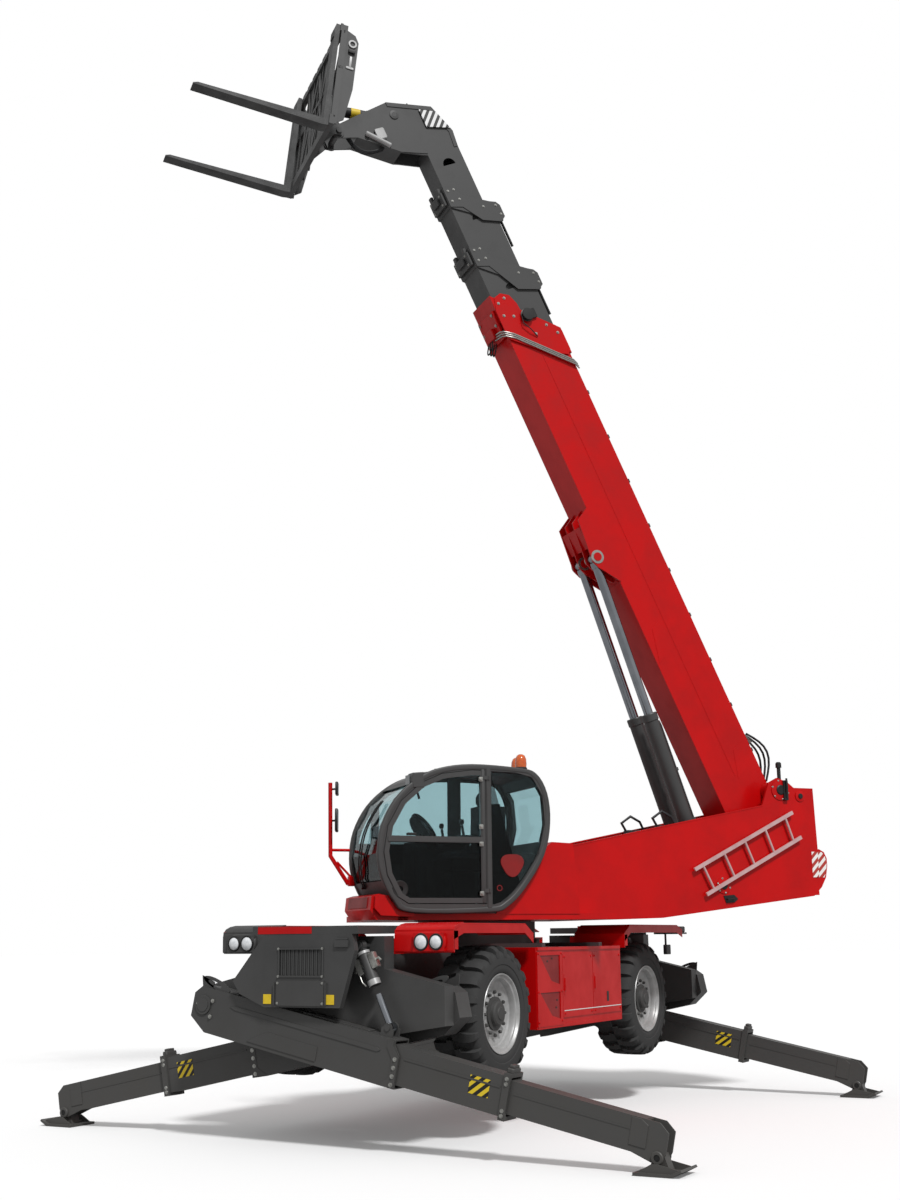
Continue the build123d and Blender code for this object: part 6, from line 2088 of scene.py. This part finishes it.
@dataclass
class ForkHead:
    """Fork carriage with its braces, couplers and two forks."""

    half: float = 0.88

    def build(self, dresser: Dresser) -> None:
        """Coats the carriage and forks and adds rails, braces and fittings."""
        dresser.coat("fork_carriage", Finish.CHARCOAL, "charcoal_paint")
        dresser.coat("forks", Finish.FORGED, "fork_steel")
        rail = Shape(CARRIAGE)
        for y in (-0.65, 0.0, 0.65):
            rail.box((0.243, 0.262), (y - 0.012, y + 0.012), (-0.30, 0.78), 0.003)
        for y0, y1 in ((-0.42, -0.02), (0.02, 0.42)):
            for flip in (False, True):
                a, b = (y0, y1) if flip else (y1, y0)
                self._brace(rail, a, b, -0.28, 0.76)
        rail.box((0.20, 0.262), (-self.half, self.half), (0.30, 0.345), 0.004)
        dresser.put(rail, "carriage_braces", Finish.CHARCOAL, "carriage")
        self.side_plate(dresser)
        self.fork_trim(dresser)

    @staticmethod
    def _brace(shape: Shape, y0: float, y1: float, z0: float, z1: float) -> None:
        """Adds one flat diagonal brace."""
        d = Vector((y1 - y0, z1 - z0)).normalized() * 0.028
        n = Vector((-d.y, d.x))
        path = [(y0 + n.x, z0 + n.y), (y1 + n.x, z1 + n.y), (y1 - n.x, z1 - n.y), (y0 - n.x, z0 - n.y)]
        rings = []
        for x in (0.2555, 0.268):
            rings.append([Vector((x, y, z)) for y, z in path])
        shape.loft(rings)

    def side_plate(self, dresser: Dresser) -> None:
        """Adds the coupler plates behind the carriage's ends, with rings and blocks."""
        work = Shape(CARRIAGE)
        for side in (-1, 1):
            y = side * (self.half - 0.03)
            outline = [(0.20, -0.36), (0.20, 0.82), (0.10, 0.78), (0.055, 0.70), (0.06, 0.10), (0.12, -0.30)]
            work.prism(outline, "Y", y - 0.008, y + 0.008, 0.002)
        dresser.put(work, "carriage_end_plates", Finish.CHARCOAL, "carriage")
        rings = Shape(CARRIAGE)
        blocks = Shape(CARRIAGE)
        for side in (-1, 1):
            y = side * (self.half - 0.022)
            rings.turned(
                [(0.030, y), (0.048, y), (0.048, y + side * 0.014), (0.030, y + side * 0.014)], "Y", 32,
                (0.125, 0, 0.66),
            )
            rings.box((0.11, 0.14), sorted((y, y + side * 0.012)), (0.36, 0.50), 0.004)
            rings.box((0.08, 0.17), sorted((y, y + side * 0.010)), (0.34, 0.365), 0.004)
            blocks.box((0.085, 0.165), sorted((y, y + side * 0.025)), (0.54, 0.585), 0.006)
        dresser.put(rings, "coupler_rings", Finish.SILVER, "carriage")
        dresser.put(blocks, "coupler_blocks", Finish.BLACK, "carriage")

    def fork_trim(self, dresser: Dresser) -> None:
        """Adds the hook block at the top of each fork."""
        work = Shape(CARRIAGE)
        for side in (-1, 1):
            y = side * 0.78
            work.box((0.328, 0.352), (y - 0.055, y + 0.055), (0.70, 0.80), 0.006)
        dresser.put(work, "fork_hooks", Finish.FORGED, "carriage")


@dataclass
class Cylinders:
    """Lift cylinders and the tilt cylinder, with turned glands and pipes."""

    lift_barrel: float = 2.07
    spread: float = 0.17

    def build(self, dresser: Dresser) -> None:
        """Replaces the faceted rods by turned ones and adds the glands."""
        barrels = Shape(LIFT)
        rods = Shape(LIFT)
        length = LIFT_LENGTH
        start = length - self.lift_barrel - 0.12 + 0.15
        for side in (-1, 1):
            y = side * self.spread
            at = (0.0, y, 0.0)
            barrels.turned(
                [
                    (0.062, 0.12), (0.085, 0.08), (0.085, self.lift_barrel - 0.09),
                    (0.094, self.lift_barrel - 0.085), (0.094, self.lift_barrel - 0.01),
                    (0.088, self.lift_barrel), (0.057, self.lift_barrel), (0.057, self.lift_barrel - 0.05),
                    (0.062, self.lift_barrel - 0.05),
                ],
                "X", 48, at,
            )
            barrels.turned(
                [(0.046, y - 0.062), (0.088, y - 0.062), (0.088, y + 0.062), (0.046, y + 0.062)], "Y", 40,
            )
            barrels.box((0.05, 0.16), (y - 0.055, y + 0.055), (-0.058, 0.058), 0.01)
            rods.turned(
                [(0.0, start), (0.054, start), (0.054, length - 0.05), (0.0, length - 0.05)], "X", 48, at,
            )
            rods.turned(
                [
                    (0.0, y - 0.058), (0.060, y - 0.058), (0.064, y - 0.05), (0.064, y + 0.05),
                    (0.060, y + 0.058), (0.0, y + 0.058),
                ],
                "Y", 40, (length, 0, 0),
            )
            rods.turned(
                [
                    (0.0, length - 0.12), (0.060, length - 0.12), (0.066, length - 0.10),
                    (0.066, length - 0.05), (0.0, length - 0.04),
                ],
                "X", 40, at,
            )
        dresser.put(barrels, "lift_barrel_pair", Finish.CHARCOAL, "lift_barrels", replaces=["lift_barrels"])
        dresser.put(rods, "lift_rod_pair", Finish.CHROME, "lift_rods", 35, replaces=["lift_rods"])
        pipes = Shape(LIFT)
        for side in (-1, 1):
            y = side * self.spread
            pipes.tube([(0.22, y, 0.10), (0.26, y, 0.108), (1.90, y, 0.108), (1.96, y, 0.098)], 0.010, 10)
            pipes.box((0.16, 0.30), (y - 0.04, y + 0.04), (0.083, 0.135), 0.008)
            for s in (0.75, 1.35):
                pipes.box((s, s + 0.04), (y - 0.025, y + 0.025), (0.083, 0.122), 0.004)
        dresser.put(pipes, "lift_pipes", Finish.CHARCOAL, "lift_barrels", 35)
        dresser.coat("tilt_barrel", Finish.BLACK, "charcoal_paint")
        dresser.coat("tilt_rod", Finish.CHROME, "chrome_rod")
        pu = TILT_U + (-0.02) * math.cos(math.radians(5.9)) - 0.37 * math.sin(math.radians(5.9))
        pz = TILT_Z + (-0.02) * math.sin(math.radians(5.9)) + 0.37 * math.cos(math.radians(5.9))
        ru, rz = boom_point(9.06, -0.76)
        angle = math.degrees(math.atan2(rz - pz, ru - pu))
        tilt = SLEWED @ shift(pu, BOOM_V, pz) @ turn("Y", -angle)
        band = Shape(tilt)
        band.turned([(0.0605, 0.13), (0.0625, 0.13), (0.0625, 0.24), (0.0605, 0.24)], "X", 48)
        dresser.put(band, "tilt_band", Finish.YELLOW, "tilt_barrel")
        gland = Shape(tilt)
        gland.turned(
            [(0.037, 0.325), (0.066, 0.325), (0.068, 0.332), (0.068, 0.352), (0.062, 0.358), (0.037, 0.358)],
            "X", 48,
        )
        dresser.put(gland, "tilt_gland", Finish.SILVER, "tilt_barrel")


# Studio


@dataclass
class Studio:
    """Pale floor, soft light and the photograph's viewpoint."""

    eye: Point3 = (13.980, 7.493, 1.741)
    yaw: float = 208.715
    pitch: float = 12.819
    roll: float = -0.597
    focal_px: float = 1440.04
    picture: tuple[int, int] = (900, 1200)
    centre_shift: Point2 = (-17.7, 11.9)

    def camera(self) -> None:
        """Sets the camera at the photograph's viewpoint."""
        data = bpy.data.cameras.new("photo_camera")
        data.sensor_width = 36.0
        data.lens = self.focal_px / self.picture[1] * 36.0
        data.shift_x = self.centre_shift[0] / self.picture[1]
        data.shift_y = self.centre_shift[1] / self.picture[1]
        data.clip_end = 500
        yaw, pitch = math.radians(self.yaw), math.radians(self.pitch)
        ahead = Vector((math.cos(pitch) * math.cos(yaw), math.cos(pitch) * math.sin(yaw), math.sin(pitch)))
        right = ahead.cross(Vector((0, 0, 1))).normalized()
        up = right.cross(ahead)
        roll = math.radians(self.roll)
        right, up = (
            right * math.cos(roll) + up * math.sin(roll), up * math.cos(roll) - right * math.sin(roll),
        )
        made = bpy.data.objects.new("photo_camera", data)
        made.matrix_world = Matrix((right, up, -ahead)).transposed().to_4x4()
        made.location = Vector(self.eye)
        bpy.context.scene.collection.objects.link(made)
        bpy.context.scene.camera = made

    def floor(self) -> None:
        """Lays a plain white floor that keeps the machine's shadow."""
        data = bpy.data.meshes.new("studio_floor")
        data.from_pydata(
            [(-150, -150, -0.002), (150, -150, -0.002), (150, 150, -0.002), (-150, 150, -0.002)], [],
            [(0, 1, 2, 3)],
        )
        made = bpy.data.objects.new("studio_floor", data)
        bpy.context.scene.collection.objects.link(made)
        material = bpy.data.materials.new("white_studio_floor")
        material.use_nodes = True
        tree = material.node_tree
        tree.nodes.clear()
        seen = add(tree, "ShaderNodeLightPath").outputs["Is Camera Ray"]
        matt = add(tree, "ShaderNodeBsdfDiffuse", {"Color": (0.86, 0.86, 0.86, 1.0)}).outputs[0]
        glow = add(tree, "ShaderNodeEmission", {"Color": (1, 1, 1, 1), "Strength": 0.10}).outputs[0]
        dark = add(tree, "ShaderNodeBsdfDiffuse", {"Color": (0.36, 0.36, 0.36, 1.0)}).outputs[0]
        both = add(tree, "ShaderNodeAddShader")
        tree.links.new(matt, both.inputs[0])
        tree.links.new(glow, both.inputs[1])
        pick = add(tree, "ShaderNodeMixShader", None, Fac=seen)
        tree.links.new(dark, pick.inputs[1])
        tree.links.new(both.outputs[0], pick.inputs[2])
        add(tree, "ShaderNodeOutputMaterial", None, Surface=pick.outputs[0])
        data.materials.append(material)

    def light(self) -> None:
        """Sets a broad sun and an even world."""
        world = bpy.data.worlds.new("studio_world")
        bpy.context.scene.world = world
        world.use_nodes = True
        tree = world.node_tree
        tree.nodes.clear()
        path = add(tree, "ShaderNodeLightPath")
        total = add(
            tree, "ShaderNodeMath", {"operation": "MAXIMUM"}, i0=path.outputs["Is Camera Ray"],
            i1=path.outputs["Is Transmission Ray"],
        ).outputs[0]
        dim = add(tree, "ShaderNodeBackground", {"Color": (1, 1, 1, 1), "Strength": 0.50}).outputs[0]
        white = add(tree, "ShaderNodeBackground", {"Color": (1, 1, 1, 1), "Strength": 1.0}).outputs[0]
        pick = add(tree, "ShaderNodeMixShader", None, Fac=total)
        tree.links.new(dim, pick.inputs[1])
        tree.links.new(white, pick.inputs[2])
        add(tree, "ShaderNodeOutputWorld", None, Surface=pick.outputs[0])
        sun = bpy.data.lights.new("key_sun", "SUN")
        sun.energy = 2.4
        sun.angle = math.radians(8)
        made = bpy.data.objects.new("key_sun", sun)
        toward = Vector((0.42, 0.55, 0.80)).normalized()
        made.rotation_mode = "QUATERNION"
        made.rotation_quaternion = toward.to_track_quat("Z", "Y")
        bpy.context.scene.collection.objects.link(made)

    def build(self) -> None:
        """Builds the whole studio."""
        self.camera()
        self.floor()
        self.light()
        bpy.context.scene.view_settings.view_transform = "Standard"


def main() -> None:
    """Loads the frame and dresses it."""
    logging.basicConfig(level=logging.INFO, format="%(name)s %(message)s")
    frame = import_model()
    Studio().build()
    dresser = Dresser(frame)
    Undercarriage().build(dresser)
    for corner in CORNERS:
        Wheel(corner).build(dresser)
        Outrigger(corner).build(dresser)
    Turret().build(dresser)
    Cab().build(dresser)
    Boom().build(dresser)
    ForkHead().build(dresser)
    Cylinders().build(dresser)
    log.info("%d pieces added", dresser.made)


if __name__ == "__main__":
    main()
